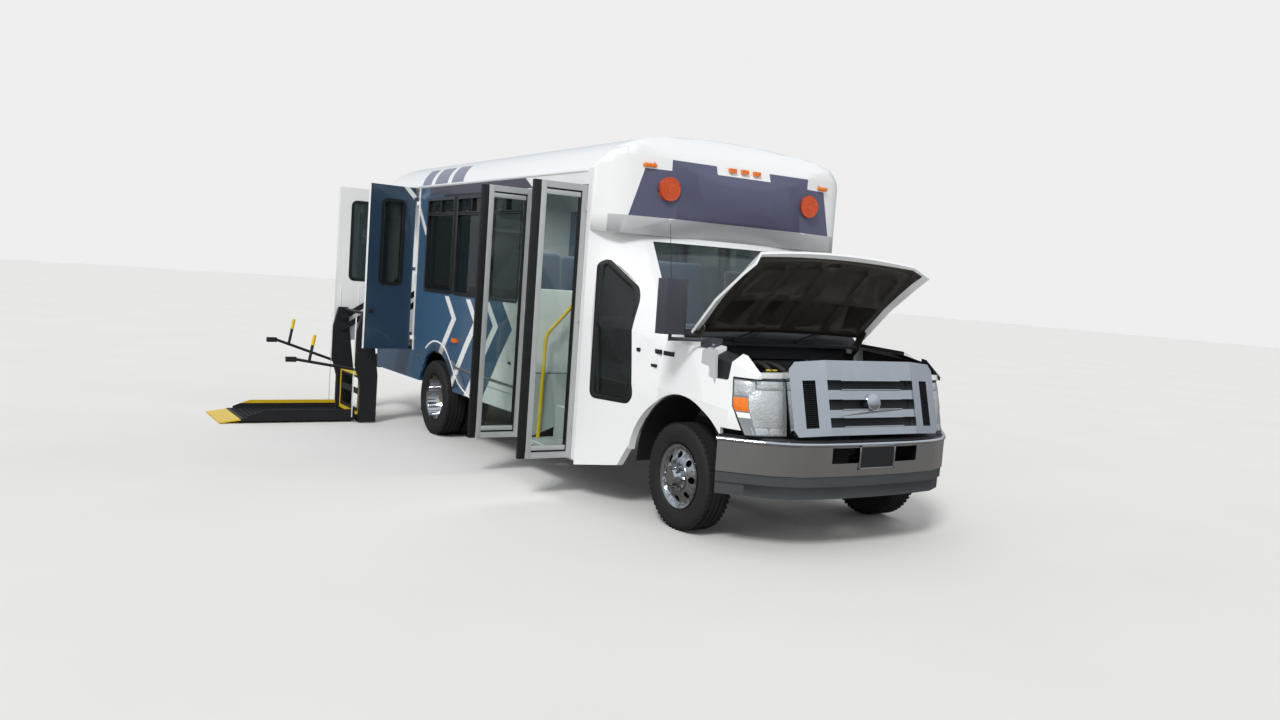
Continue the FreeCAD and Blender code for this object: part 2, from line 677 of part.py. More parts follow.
def floor():
    bus = box(BODY_REAR + WALL, SIDE_LEFT_X + 400, -INNER_HALF + 20, INNER_HALF - 20,
              FLOOR_Z - FLOOR_T, FLOOR_Z)
    sill = [box(LIFT_REAR, LIFT_FRONT, -INNER_HALF + 21, -INNER_HALF, FLOOR_Z - FLOOR_T, FLOOR_Z)]
    bay = box(BAY_X[0], BAY_X[1], BAY_Y[0], BAY_Y[1], FLOOR_Z, FLOOR_Z + BAY_T)
    bus = cut(fuse([bus, bay] + sill), box(WELL_REAR - 2, 0, -BODY_HALF, WELL_INNER + 2, 0, 1000))
    riser = box(SIDE_LEFT_X + 400, SIDE_LEFT_X + 375, WELL_INNER + 2, INNER_HALF - 20,
                CAB_FLOOR_Z, FLOOR_Z - FLOOR_T)
    cab = box(SIDE_LEFT_X + 375, -200, -960, 960, CAB_FLOOR_Z - FLOOR_T, CAB_FLOOR_Z)
    cab = cut(cab, [front_arch(ARCH_R, s * 545, s * 1100) for s in (-1, 1)]
              + [box(SIDE_LEFT_X, WELL_FRONT + 2, -1000, -530, 0, 1000),
                 box(DOOR_REAR - 10, DOOR_FRONT + 10, 936, 1000, 0, 1000)])
    x0, x1, half, z0, z1 = ENGINE
    tunnel = box(x0 - 640, x1, -half - 15, half + 15, 0, CAB_FLOOR_Z + 10)
    bearers = []
    for x in OUTRIGGER_X:
        for s in (-1, 1):
            bearers.append(box(x - 25, x + 25, s * (RAIL_Y - 20), s * (BODY_HALF - WALL - 40),
                               RAIL_BOTTOM + RAIL_H, FLOOR_Z - FLOOR_T))
    whole_floor = cut(fuse([bus, riser, cut(cab, tunnel)] + bearers), cab_wall)
    return max(whole_floor.Solids, key=lambda solid: solid.Volume)


def stepwell():
    rise = (FLOOR_Z - ENTRY_BOTTOM) / (STEP_COUNT - 1)
    run = (WELL_INNER - WELL_OUTER) / (STEP_COUNT - 1)
    outline = [(WELL_OUTER, ENTRY_BOTTOM - TREAD_T), (WELL_OUTER, ENTRY_BOTTOM)]
    for k in range(STEP_COUNT - 1):
        y = WELL_OUTER + run * (k + 1)
        outline.append((y, ENTRY_BOTTOM + rise * k))
        outline.append((y, ENTRY_BOTTOM + rise * (k + 1)))
    below = [(y + TREAD_T, z - TREAD_T) for y, z in reversed(outline[2:-1])]
    outline.append((WELL_INNER + TREAD_T - 25, FLOOR_Z - FLOOR_T))
    steps = prism_x(outline[:-2] + below, WELL_REAR, WELL_FRONT)
    ends = []
    for x0, x1 in ((WELL_REAR, WELL_REAR + 15), (WELL_FRONT - 15, WELL_FRONT)):
        ends.append(prism_x([(WELL_OUTER, ENTRY_BOTTOM - TREAD_T), (WELL_INNER, ENTRY_BOTTOM + 200),
                             (WELL_INNER, FLOOR_Z), (WELL_OUTER, FLOOR_Z)], x0, x1))
    return fuse([steps] + ends)


pieces["stepwell"] = stepwell()


# Passenger windows: black frames with a transom, and their tinted panes
def window_frame(x0, x1, side):
    y0 = side * (INNER_HALF + 2)
    y1 = side * (BODY_HALF + 4)
    ring = frame_ring(x0, x1, WINDOW_SILL, WINDOW_HEAD, WINDOW_BORDER, min(y0, y1), max(y0, y1),
                      WINDOW_CORNER)
    transom = box(x0 + 5, x1 - 5, y0, y1, TRANSOM_Z - 16, TRANSOM_Z + 16)
    middle = (x0 + x1) / 2
    post = box(middle - 12, middle + 12, y0, y1, TRANSOM_Z, WINDOW_HEAD - 5)
    return fuse([ring, transom, post])


def window_panes(x0, x1, side):
    y0 = side * (INNER_HALF + 20)
    y1 = side * (INNER_HALF + 20 + GLASS_T)
    left = x0 + WINDOW_BORDER
    right = x1 - WINDOW_BORDER
    middle = (x0 + x1) / 2
    top = WINDOW_HEAD - WINDOW_BORDER
    return [
        box(left, right, y0, y1, WINDOW_SILL + WINDOW_BORDER, TRANSOM_Z - 16),
        box(left, middle - 12, y0, y1, TRANSOM_Z + 16, top),
        box(middle + 12, right, y0, y1, TRANSOM_Z + 16, top),
    ]


all_windows = [(w, -1) for w in RIGHT_WINDOWS] + [(w, 1) for w in LEFT_WINDOWS]
frames = [window_frame(w[0], w[1], s) for w, s in all_windows]
panes = []
for w, s in all_windows:
    panes.extend(window_panes(w[0], w[1], s))
rear_pane = box(BODY_REAR + 15, BODY_REAR + 15 + GLASS_T, -REAR_WINDOW_HALF + WINDOW_BORDER,
                REAR_WINDOW_HALF - WINDOW_BORDER, WINDOW_SILL + WINDOW_BORDER,
                WINDOW_HEAD - 120 - WINDOW_BORDER)
rear_frame = cut(box(BODY_REAR - 6, BODY_REAR + WALL, -REAR_WINDOW_HALF, REAR_WINDOW_HALF,
                     WINDOW_SILL, WINDOW_HEAD - 120),
                 box(BODY_REAR - 10, BODY_REAR + WALL + 5, -REAR_WINDOW_HALF + WINDOW_BORDER,
                     REAR_WINDOW_HALF - WINDOW_BORDER, WINDOW_SILL + WINDOW_BORDER,
                     WINDOW_HEAD - 120 - WINDOW_BORDER))


# Cab: a loft through four level sections, hollow, with its openings cut
CAB_SECTIONS = [
    # height, half width, how far the screen has leaned back
    (CAB_BOTTOM, 950, 0),
    (CAB_WIDEST, CAB_WIDE_HALF, 0),
    (CAB_BELT, 965, 0),
    (CAB_TOP, 800, SCREEN_RAKE),
]
FLARE_FRONT = DOOR_REAR - 30


def cab_section(z, half, lean, inset, back):
    side_x = PILLAR_X - lean - inset
    centre = V(SCREEN_X - lean - inset, 0, z)
    h = half - inset
    body = BODY_HALF - inset
    right = V(side_x, -h, z)
    left = V(side_x, h, z)
    corners = [left, V(FLARE_FRONT, h, z), V(SIDE_LEFT_X, body, z)]
    if back:
        corners += [V(SIDE_LEFT_X - back, body, z), V(SIDE_LEFT_X - back, -body, z)]
    corners += [V(JAMB_X, -body, z), right]
    edges = [Part.Arc(right, centre, left).toShape()]
    for i in range(len(corners) - 1):
        edges.append(Part.LineSegment(corners[i], corners[i + 1]).toShape())
    return Part.Wire(edges)


def cab_volume(inset, back):
    """The cab's outer form, drawn in by inset; with back it runs on past the open rear."""
    rows = list(CAB_SECTIONS)
    wires = []
    for k, (z, half, lean) in enumerate(rows):
        wires.append(cab_section(z, half, lean, inset, back))
    if back:
        low = rows[0]
        wires.insert(0, cab_section(low[0] - 60, low[1], 0, inset, back))
        high = rows[-1]
        wires.append(cab_section(high[0] + 60, high[1] - 14, high[2] + 57, inset, back))
    return Part.makeLoft(wires, True, True)


def front_arch(radius, y0, y1):
    return fuse([rod((0, y0, ARCH_Z), (0, y1, ARCH_Z), radius),
                 box(-radius, radius, y0, y1, 0, ARCH_Z)])


def screen_opening(y_margin, z_margin):
    low = 965 - y_margin
    high = 800 - y_margin + 15
    return prism_x([(-low, CAB_BELT + z_margin), (low, CAB_BELT + z_margin),
                    (high, CAB_TOP - z_margin), (-high, CAB_TOP - z_margin)], -1250, 0)


DOOR_OUTLINE = [
    # x, z round the driver's door, from the sill's rear end forward
    (DOOR_REAR, 450), (-585, 450), (DOOR_FRONT - 70, 770), (DOOR_FRONT, 860), (DOOR_FRONT, CAB_BELT + 20),
    (-985, 1975), (DOOR_REAR, 1975),
]
DOOR_WINDOW = [(-1330, 1370), (-560, 1370), (-1040, 1900), (-1330, 1900)]
QUARTER_WINDOW = [(-925, 795), (-555, 795), (-510, 860), (-615, 1545), (-672, 1640), (-940, 1843), (-985, 1800)]
QUARTER_BORDER = 30


def grown(outline, amount):
    """The outline with its straight sides moved outwards by amount."""
    face = Part.Face(wire([(x, 0, z) for x, z in outline]))
    bigger = face.makeOffset2D(amount, 2)
    return [(p.X, p.Z) for p in bigger.OuterWire.OrderedVertexes]


DOOR_HINGE_X = DOOR_FRONT + 2
DOOR_HINGE_Y = CAB_WIDE_HALF + 14
HINGE_Y = 772
HOOD_PIN_R = 8
outer_cab = cab_volume(0, 0)
cab_wall = cut(outer_cab, cab_volume(WALL, 300))
right_foot = prism_y([(JAMB_X - 10, 0), (JAMB_X - 10, 262), (-640, 330), (-540, 500), (-540, 0)], -1300, 0)
left_foot = prism_y([(SIDE_LEFT_X - 500, 0), (SIDE_LEFT_X - 500, 440), (0, 440), (0, 0)], 0, 1300)
firewall_foot = box(PILLAR_X - 200, 0, -880, 880, 0, RAIL_BOTTOM + RAIL_H + 5)
arches = [front_arch(ARCH_R, s * 545, s * 1100) for s in (-1, 1)]
tunnel_hole = box(-700, 0, -ENGINE[2] - 15, ENGINE[2] + 15, 0, 1180)
door_cut = prism_y(grown(DOOR_OUTLINE, DOOR_GAP), 700, 1300)
quarter_hole = prism_y(QUARTER_WINDOW, -1300, -850)
back_cut = box(CAP_BACK - 2000, JAMB_X, -1300, 0, 0, 3000)
cab_shell = cut(cab_wall, [right_foot, left_foot, firewall_foot, screen_opening(78, 45), door_cut,
                           quarter_hole, tunnel_hole, back_cut] + arches)
door_lugs = hinge_lugs(DOOR_HINGE_X, DOOR_HINGE_Y, -1, DOOR_HINGE_Z, CAB_WIDE_HALF - 55)
hood_brackets = []
for s in (-1, 1):
    px, pz = HOOD_PIVOT
    hood_brackets.append(box(px - 70, px + 16, s * (HINGE_Y - 40), s * (HINGE_Y - 14), pz - 14, pz + 14))
    hood_brackets.append(rod((px, s * (HINGE_Y - 30), pz), (px, s * (HINGE_Y + 10), pz), HOOD_PIN_R))
pieces["cab_shell"] = fuse([cab_shell] + door_lugs + hood_brackets)
pieces["floor"] = floor()

skin = cut(cab_volume(10, 0), cab_volume(10 + GLASS_T, 300))
pieces["windshield"] = skin.common(screen_opening(78, 45))

door_slab = cab_wall.common(prism_y(DOOR_OUTLINE, 700, 1300))
door_straps = hinge_straps(DOOR_HINGE_X, DOOR_HINGE_Y, -1, DOOR_HINGE_Z, CAB_WIDE_HALF - 55, 6)
pieces["driver_door"] = fuse([cut(door_slab, prism_y(DOOR_WINDOW, 700, 1300))] + door_straps)
door_skin = cut(cab_volume(18, 0), cab_volume(18 + GLASS_T, 300))
pieces["driver_window"] = door_skin.common(prism_y(DOOR_WINDOW, 700, 1300))
quarter_ring = cab_wall.common(prism_y(QUARTER_WINDOW, -1300, -850))
quarter_inner = prism_y(grown(QUARTER_WINDOW, -QUARTER_BORDER), -1300, -850)
frames.append(cut(quarter_ring, quarter_inner))
panes.append(door_skin.common(quarter_inner))
frames.append(rear_frame)
panes.append(rear_pane)
pieces["window_frames"] = Part.makeCompound(frames)
pieces["window_glass"] = Part.makeCompound(panes)


# Front cap over the cab: the roof section, a side profile and a plan outline meet in one form
CAP_FRONT = -745
CAP_LIP_Z = 2185


def cap_profile(inset):
    y0 = -1400
    t = inset
    back = CAP_BACK - (200 if inset else 0)
    a = V(back, y0, CAB_TOP + t * 0.75)
    b = V(-885 - t * 0.6, y0, CAB_TOP + t * 0.75)
    c = V(CAP_FRONT - 35 - t, y0, CAP_LIP_Z + t * 0.4)
    d = V(CAP_FRONT - t, y0, 2385)
    e = V(CAP_FRONT - 40 - t, y0, 2570)
    f = V(CAP_FRONT - 125 - t, y0 + 0, 2735 - t)
    g = V(CAP_BACK - 40, y0, ROOF_Z + 12 - t)
    edges = [Part.LineSegment(a, b).toShape(), Part.LineSegment(b, c).toShape(),
             Part.Arc(c, d, e).toShape(), Part.Arc(e, f, g).toShape()]
    if inset:
        h = V(back, y0, ROOF_Z + 12 - t)
        edges += [Part.LineSegment(g, h).toShape(), Part.LineSegment(h, a).toShape()]
    else:
        h = V(CAP_BACK, y0, ROOF_Z + 12)
        edges[-1] = Part.Arc(e, f, h).toShape()
        edges.append(Part.LineSegment(h, a).toShape())
    return Part.Face(Part.Wire(edges)).extrude(V(0, 2800, 0))


def cap_plan(inset):
    z0 = CAB_TOP - 100
    t = inset
    back = CAP_BACK - (200 if inset else 0)
    left = V(CAP_FRONT - 120 - t, 1000 - t * 0.4, z0)
    right = V(left.x, -left.y, z0)
    corner = V(CAP_BACK + 40, BODY_HALF - t, z0)
    mid = V(CAP_FRONT - 208 - t * 0.8, 1140 - t * 0.8, z0)
    edges = [
        Part.Arc(right, V(CAP_FRONT - t, 0, z0), left).toShape(),
        Part.Arc(left, mid, corner).toShape(),
        Part.LineSegment(corner, V(back, corner.y, z0)).toShape(),
        Part.LineSegment(V(back, corner.y, z0), V(back, -corner.y, z0)).toShape(),
        Part.LineSegment(V(back, -corner.y, z0), V(corner.x, -corner.y, z0)).toShape(),
        Part.Arc(V(corner.x, -corner.y, z0), V(mid.x, -mid.y, z0), right).toShape(),
    ]
    return Part.Face(Part.Wire(edges)).extrude(V(0, 0, 1200))


def cap_volume(inset):
    tail = 200 if inset else 0
    section = roof_solid(CAP_BACK - tail, -600, inset, CAB_TOP - 50)
    return section.common(cap_profile(inset)).common(cap_plan(inset))


cap = cut(cap_volume(0), cap_volume(ROOF_T))
pieces["front_cap"] = cut(cap, box(CAP_BACK - 400, JAMB_X, -BODY_HALF - 1, -INNER_HALF, 0, GUTTER_Z))

# Round turn lamps and the row of small clearance lamps on the cap
CAP_TURN = (690, 2390)
CAP_TURN_R = 90
CLEARANCE = [
    # y, z of each small lamp
    (-120, 2590), (0, 2592), (120, 2590), (-790, 2560), (790, 2560),
]


def marker_lamps():
    lamps = []
    for s in (-1, 1):
        y = s * CAP_TURN[0]
        lens = rod((CAP_FRONT - 120, y, CAP_TURN[1]), (CAP_FRONT - 26, y, CAP_TURN[1]), CAP_TURN_R)
        lamps.append(cut(lens, cap_volume(0)))
    for y, z in CLEARANCE:
        lens = box(CAP_FRONT - 200, CAP_FRONT - (20 if abs(y) < 500 else 78), y - 32, y + 32, z - 14, z + 18)
        lamps.append(cut(lens, cap_volume(0)))
    for s in (-1, 1):
        lamps.append(box(-3560, -3450, s * BODY_HALF, s * (BODY_HALF + 22), 970, 1010))
    return Part.makeCompound([max(lamp.Solids, key=lambda solid: solid.Volume) for lamp in lamps])


pieces["marker_lamps"] = marker_lamps()

# Fenders: lofted side panels over the front wheels, with the wheel opening cut
FENDER_SECTIONS = [
    # x, then y and z of foot, belt, shoulder and hood edge
    (PILLAR_X, 985, 450, CAB_WIDE_HALF, 950, 965, 1285, HOOD_HALF + 8, 1318),
    (250, 985, 450, CAB_WIDE_HALF, 930, 955, 1255, HOOD_HALF + 8, 1298),
    (490, 950, 500, 964, 900, 912, 1200, HOOD_HALF + 4, 1258),
    (640, 885, 560, 900, 880, 862, 1136, HOOD_HALF - 4, 1148),
]
FENDER_T = 24
NOTCH_X = (262, 440)
NOTCH_Z = 1092
NOTCH_PANEL_T = 8


def fender_layer(outside, inside):
    """The fender's skin between two depths under its outer face."""
    wires = []
    for x, y0, z0, y1, z1, y2, z2, y3, z3 in FENDER_SECTIONS:
        a, b = outside, inside
        outer = [(x, y0 - a, z0), (x, y1 - a, z1), (x, y2 - a, z2 - a), (x, y3, z3 - a)]
        inner = [(x, y3, z3 - b), (x, y2 - b, z2 - b), (x, y1 - b, z1), (x, y0 - b, z0)]
        wires.append(wire(outer + inner))
    return Part.makeLoft(wires, True, True)


LAMP_LEVELS = [
    # z, then x, y round the lamp from its inner front corner outwards and back
    (757, (708, 640), (695, 770), (665, 860), (618, 914), (600, 888), (620, 800), (628, 640)),
    (935, (685, 640), (660, 800), (600, 890), (512, 950), (496, 922), (565, 820), (592, 640)),
    (1118, (650, 640), (628, 780), (560, 875), (478, 932), (462, 904), (540, 805), (575, 640)),
]


def lamp_body():
    wires = [wire([(x, y, z) for x, y in points]) for z, *points in LAMP_LEVELS]
    return Part.makeLoft(wires, True, True)


def lamp_room():
    """The lamp's seat and all that stands before it, as a cutter."""
    wires = []
    for z, *points in LAMP_LEVELS:
        end_x = points[3][0]
        reach = -30 if z == LAMP_LEVELS[0][0] else (4 if z == LAMP_LEVELS[-1][0] else 0)
        ring = [(900, 600), (900, 1150), (end_x, 1150)] + points[3:] + [(points[-1][0], 600)]
        wires.append(wire([(x, y, z + reach) for x, y in ring]))
    return Part.makeLoft(wires, True, True)


def fender():
    bumper_room = box(430, 800, 700, 1200, 0, 785)
    notch = soft_box(NOTCH_X[0], NOTCH_X[1], 700, 1200, NOTCH_Z, NOTCH_Z + 400, 18)
    return cut(fender_layer(0, FENDER_T), [front_arch(ARCH_R, 700, 1200), bumper_room, lamp_room(), lamp_body(),
                                           notch, outer_cab])


def notch_panel():
    """The dark inner panel that shows through the fender's notch."""
    window = box(NOTCH_X[0] - 20, NOTCH_X[1] + 20, 700, 1200, NOTCH_Z - 30, 1400)
    return fender_layer(FENDER_T, FENDER_T + NOTCH_PANEL_T).common(window)


left_fender = fender()
support = box(560, 608, -HOOD_HALF - 16, HOOD_HALF + 16, 1124, 1160)
pieces["fenders"] = fuse([left_fender, mirrored(left_fender), support])
pieces["headlamps"] = Part.makeCompound([lamp_body(), mirrored(lamp_body())])


# Wheel liners of the front arches and mud flaps behind the rear wheels
def wheel_liner(side):
    y0 = side * 548
    y1 = side * 975
    t = 12
    ring = cut(rod((0, y0, ARCH_Z), (0, y1, ARCH_Z), ARCH_R - FIT),
               rod((0, y0 - side, ARCH_Z), (0, y1 + side, ARCH_Z), ARCH_R - t))
    low = box(-600, 600, y0 - side, y1 + side, -200, 380)
    front = box(0, 600, y0 - side, y1 + side, 300, 520)
    return cut(ring, [low, front])


def mud_flap(side):
    x = REAR_X - REAR_ARCH_R - 30
    return box(x, x + 8, side * 860, side * 1150, 170, FLOOR_Z - FLOOR_T)


pieces["wheel_liners"] = Part.makeCompound([wheel_liner(s) for s in (-1, 1)] + [mud_flap(s) for s in (-1, 1)]
                                           + [notch_panel(), mirrored(notch_panel())])


# Grille: a chrome surround with bars and narrow side openings, leaning back
GRILLE_DEPTH = 45
GRILLE_OPENING = (37, 349)
GRILLE_BARS = [
    # height of the bar's middle over the foot, half its height
    (127, 26), (253, 31),
]
GRILLE_MESH_Y = (480, 575)
EMBLEM_Z = 203
EMBLEM_R = 60


def grille():
    """A middle with two broad bars and a swept wing at each side, all leaned back."""
    x0, z0 = GRILLE_FOOT
    low = z0 + GRILLE_OPENING[0]
    high = z0 + GRILLE_OPENING[1]
    top = z0 + GRILLE_H
    back = x0 - GRILLE_DEPTH
    middle = cut(box(back, x0, -GRILLE_MIDDLE, GRILLE_MIDDLE, z0 - 16, top),
                 box(back - 1, x0 + 1, -GRILLE_MIDDLE + 6, GRILLE_MIDDLE - 6, low, high))
    bars = [box(x0 - 32, x0 - 6, -GRILLE_MIDDLE, GRILLE_MIDDLE, z0 + z - half, z0 + z + half)
            for z, half in GRILLE_BARS]
    emblem = rod((x0 - 32, 0, z0 + EMBLEM_Z), (x0 + 4, 0, z0 + EMBLEM_Z), EMBLEM_R)
    parts = [middle, emblem] + bars
    for s in (-1, 1):
        outline = [(s * (GRILLE_MIDDLE - 8), z0 - 16), (s * (GRILLE_HALF - 30), z0 - 16), (s * GRILLE_HALF, z0 + 30),
                   (s * GRILLE_HALF, top - 55), (s * (GRILLE_HALF - 45), top - 8), (s * (GRILLE_MIDDLE - 8), top)]
        wing = cut(prism_x(outline, back, x0),
                   box(back - 1, x0 + 1, s * GRILLE_MESH_Y[0], s * GRILLE_MESH_Y[1], low, high))
        parts.append(turned(wing, s * GRILLE_SWEEP, (x0, s * GRILLE_MIDDLE, z0), (0, 0, 1)))
    leaned = turned(fuse(parts), -GRILLE_LEAN, (x0, 0, z0), (0, 1, 0))
    stays = [box(608, 700, s * 602, s * 634, 1128, 1156) for s in (-1, 1)]
    return fuse([leaned] + stays)


pieces["grille"] = grille()

# Front bumper with its middle opening, and the grey valance below it
BUMPER_OUTLINE = [
    # x, y of the outer face on the left half
    (892, 0), (886, 300), (852, 600), (768, 780), (648, 915), (512, 1046),
]
BUMPER_T = 28
BUMPER_Z = (518, 728)
BUMPER_PAD = (38, 750)
VALANCE_Z = (368, 450, 518)


def bumper_band(inset, z0, z1, thickness):
    half = [(x - inset, y - (inset if y > 700 else 0)) for x, y in BUMPER_OUTLINE]
    inner = [(x - thickness, y - (thickness if y > 700 else 0)) for x, y in half]
    inner[-1] = (half[-1][0], half[-1][1] - thickness)
    outline = half + list(reversed(inner))
    left = prism_z(outline, z0, z1)
    return fuse([left, mirrored(left)])


def front_bumper():
    band = bumper_band(0, BUMPER_Z[0], BUMPER_Z[1], BUMPER_T)
    slot = box(800, 900, -385, 385, 604, 706)
    brackets = [box(RAIL_FRONT, 862, s * 400, s * 460, 600, 700) for s in (-1, 1)]
    plate = box(850, 896, -160, 160, 560, 722)
    holes = [rod((840, s * PLATE_HOLE_SPACING / 2, 700), (900, s * PLATE_HOLE_SPACING / 2, 700), PLATE_HOLE_R)
             for s in (-1, 1)]
    return cut(fuse([cut(band, slot)] + brackets + [plate]), holes)


PLATE_HOLE_SPACING = 178
PLATE_HOLE_R = 3.5
pieces["front_bumper"] = front_bumper()
valance_low = bumper_band(16, VALANCE_Z[0], VALANCE_Z[1], 50)
valance_high = bumper_band(6, VALANCE_Z[1], VALANCE_Z[2], 60)
bumper_pad = bumper_band(BUMPER_PAD[0], BUMPER_Z[1], BUMPER_PAD[1], 50)
bumper_pad = fuse([bumper_pad, bumper_band(8, BUMPER_Z[1], BUMPER_Z[1] + 8, 50)])
pieces["valance"] = Part.makeCompound([fuse([valance_low, valance_high]), bumper_pad])


# Cowl between the hood and the windshield
def cowl():
    panel = box(PILLAR_X - 10, HOOD_REAR - 18, -725, 725, 1278, 1298)
    return cut(panel, cab_volume(0, 0))


pieces["cowl"] = cowl()

# Hood: lofted across, cut to its outline, with goose-neck hinges and the prop rod that holds it
HOOD_SECTIONS = [
    # x, half width, edge height, half width and height where the side turns down, crown height
    (HOOD_REAR, HOOD_HALF, 1310, HOOD_HALF - 70, 1328, 1352),
    (250, HOOD_HALF, 1290, HOOD_HALF - 75, 1318, 1352),
    (560, HOOD_HALF - 14, 1226, HOOD_HALF - 95, 1298, 1340),
    (722, HOOD_HALF - 24, 1184, HOOD_HALF - 115, 1286, 1326),
]
HOOD_LIP = 8
HOOD_POCKETS = [
    # x from, x to, y from, y to of each dished field of the inner panel, on the left
    (-20, 250, 60, 330), (-20, 250, 390, 690), (310, 600, 70, 350), (310, 570, 410, 660),
]


def hood_skin(drop):
    wires = []
    for x, half, edge, turn_y, turn_z, crown in HOOD_SECTIONS:
        top = Part.Arc(V(x, -turn_y, turn_z), V(x, 0, crown), V(x, turn_y, turn_z)).toShape()
        low_z = turn_z - drop
        low = Part.Arc(V(x, -turn_y, low_z), V(x, 0, crown - drop), V(x, turn_y, low_z)).toShape()
        corners = [V(x, turn_y, turn_z), V(x, half, edge), V(x, half, edge - drop), V(x, turn_y, low_z)]
        right = [V(c.x, -c.y, c.z) for c in reversed(corners)]
        lines = [Part.LineSegment(corners[i], corners[i + 1]).toShape() for i in range(3)]
        others = [Part.LineSegment(right[i], right[i + 1]).toShape() for i in range(3)]
        wires.append(Part.Wire([top] + lines + [low] + others))
    return Part.makeLoft(wires, True, True)


def hood_plan(front, front_corner, half, back):
    plan = [Part.Arc(V(front_corner, half, 1100), V(front, 0, 1100), V(front_corner, -half, 1100)).toShape(),
            Part.LineSegment(V(front_corner, -half, 1100), V(back, -half, 1100)).toShape(),
            Part.LineSegment(V(back, -half, 1100), V(back, half, 1100)).toShape(),
            Part.LineSegment(V(back, half, 1100), V(front_corner, half, 1100)).toShape()]
    return Part.Face(Part.Wire(plan)).extrude(V(0, 0, 400))


def hood():
    skin_part = hood_skin(HOOD_T).common(hood_plan(720, 696, 860, HOOD_REAR))
    lining = hood_skin(HOOD_T + HOOD_PANEL_T).common(hood_plan(668, 640, HOOD_HALF - 105, HOOD_REAR + 45))
    pockets = [soft_block(x0, x1, s * y0, s * y1, 1150, 1400, 45) for x0, x1, y0, y1 in HOOD_POCKETS
               for s in (-1, 1)]
    latch = soft_block(615, 648, -60, 60, 1150, 1400, 14)
    lining = cut(lining, pockets + [latch])
    px, pz = HOOD_PIVOT
    arms = []
    for s in (-1, 1):
        neck = prism_y([(px - 22, pz - 22), (px + 25, pz - 22), (HOOD_REAR + 90, 1272),
                        (HOOD_REAR + 90, 1318), (HOOD_REAR + 4, 1318), (px - 22, pz + 22)],
                       s * (HINGE_Y - 6), s * (HINGE_Y + 6))
        arms.append(neck)
    above = box(-500, 900, -900, 900, 1322, 1500)
    bores = [rod((px, -900, pz), (px, 900, pz), HOOD_PIN_R + FIT)]
    shut = cut(fuse([skin_part, lining] + [cut(a, above) for a in arms]), bores)
    return turned(shut, -HOOD_OPEN, (px, 0, pz), (0, 1, 0))


pieces["hood"] = hood()


# Mirrors on arms from the fenders
def mirror_unit():
    fender_form = Part.makeLoft([wire([(x, y0, z0), (x, y1, z1), (x, y2, z2), (x, y3, z3), (x, y3, z0)])
                                 for x, y0, z0, y1, z1, y2, z2, y3, z3 in FENDER_SECTIONS], True, True)
    foot = cut(box(90, 200, 830, 930, 1280, 1345), fender_form)
    foot = max(foot.Solids, key=lambda solid: solid.Volume)
    arm = rod((140, 900, 1328), (60, 1175, 1322), 13)
    post = rod((60, 1165, 1310), (60, 1165, 1362), 12)
    head = box(10, 115, 1065, 1270, 1355, 1722)
    head = head.makeFillet(34, [e for e in head.Edges if abs(e.tangentAt(e.FirstParameter).z) > 0.9])
    return fuse([foot, arm, post, head])


pieces["mirrors"] = mirrored(mirror_unit())

# The left mirror stands high on struts from the driver's door
DOOR_MIRROR_X = -362
DOOR_MIRROR_Y = 1158
DOOR_MIRROR_Z = (1640, 1960)


def door_mirror():
    parts = []
    for x, z in ((-490, 1190), (-640, 1280)):
        foot = rod((x, 950, z), (x, CAB_WIDE_HALF + 4, z), 24)
        parts.append(cut(foot, outer_cab))
        parts.append(rod((x, CAB_WIDE_HALF, z), (DOOR_MIRROR_X, DOOR_MIRROR_Y, DOOR_MIRROR_Z[0] - 40), 11))
    parts.append(rod((DOOR_MIRROR_X, DOOR_MIRROR_Y, DOOR_MIRROR_Z[0] - 52),
                     (DOOR_MIRROR_X, DOOR_MIRROR_Y, DOOR_MIRROR_Z[0] + 20), 12))
    parts.append(soft_block(DOOR_MIRROR_X - 44, DOOR_MIRROR_X + 44, DOOR_MIRROR_Y - 92, DOOR_MIRROR_Y + 92,
                            DOOR_MIRROR_Z[0], DOOR_MIRROR_Z[1], 30))
    return fuse(parts)


pieces["door_mirror"] = door_mirror()


# Rear bumper and tail lamps
def rear_bumper():
    beam = box(BODY_REAR - 130, BODY_REAR - 20, -BODY_HALF + 39, BODY_HALF - 39, 470, 620)
    arms = [box(BODY_REAR - 25, BODY_REAR + 60, s * 398, s * 462, 500, 574) for s in (-1, 1)]
    ties = [box(BODY_REAR + 60, BODY_REAR + 200, s * 398, s * 462, 500, RAIL_BOTTOM) for s in (-1, 1)]
    holes = [rod((BODY_REAR - 135, s * PLATE_HOLE_SPACING / 2, 570), (BODY_REAR - 15, s * PLATE_HOLE_SPACING / 2, 570),
                 PLATE_HOLE_R) for s in (-1, 1)]
    return cut(fuse([beam] + arms + ties), holes)


def tail_lamps():
    lamps = []
    for s in (-1, 1):
        for z in (1080, 1240):
            y = s * (BODY_HALF - 159)
            lamps.append(rod((BODY_REAR, y, z), (BODY_REAR - 22, y, z), 62))
        lamps.append(box(BODY_REAR, BODY_REAR - 20, s * (BODY_HALF - 319), s * (BODY_HALF - 259), 2520, 2550))
    for y in (-150, 0, 150):
        lamps.append(box(BODY_REAR, BODY_REAR - 20, y - 30, y + 30, 2620, 2650))
    return Part.makeCompound(lamps)


pieces["rear_bumper"] = rear_bumper()
pieces["tail_lamps"] = tail_lamps()


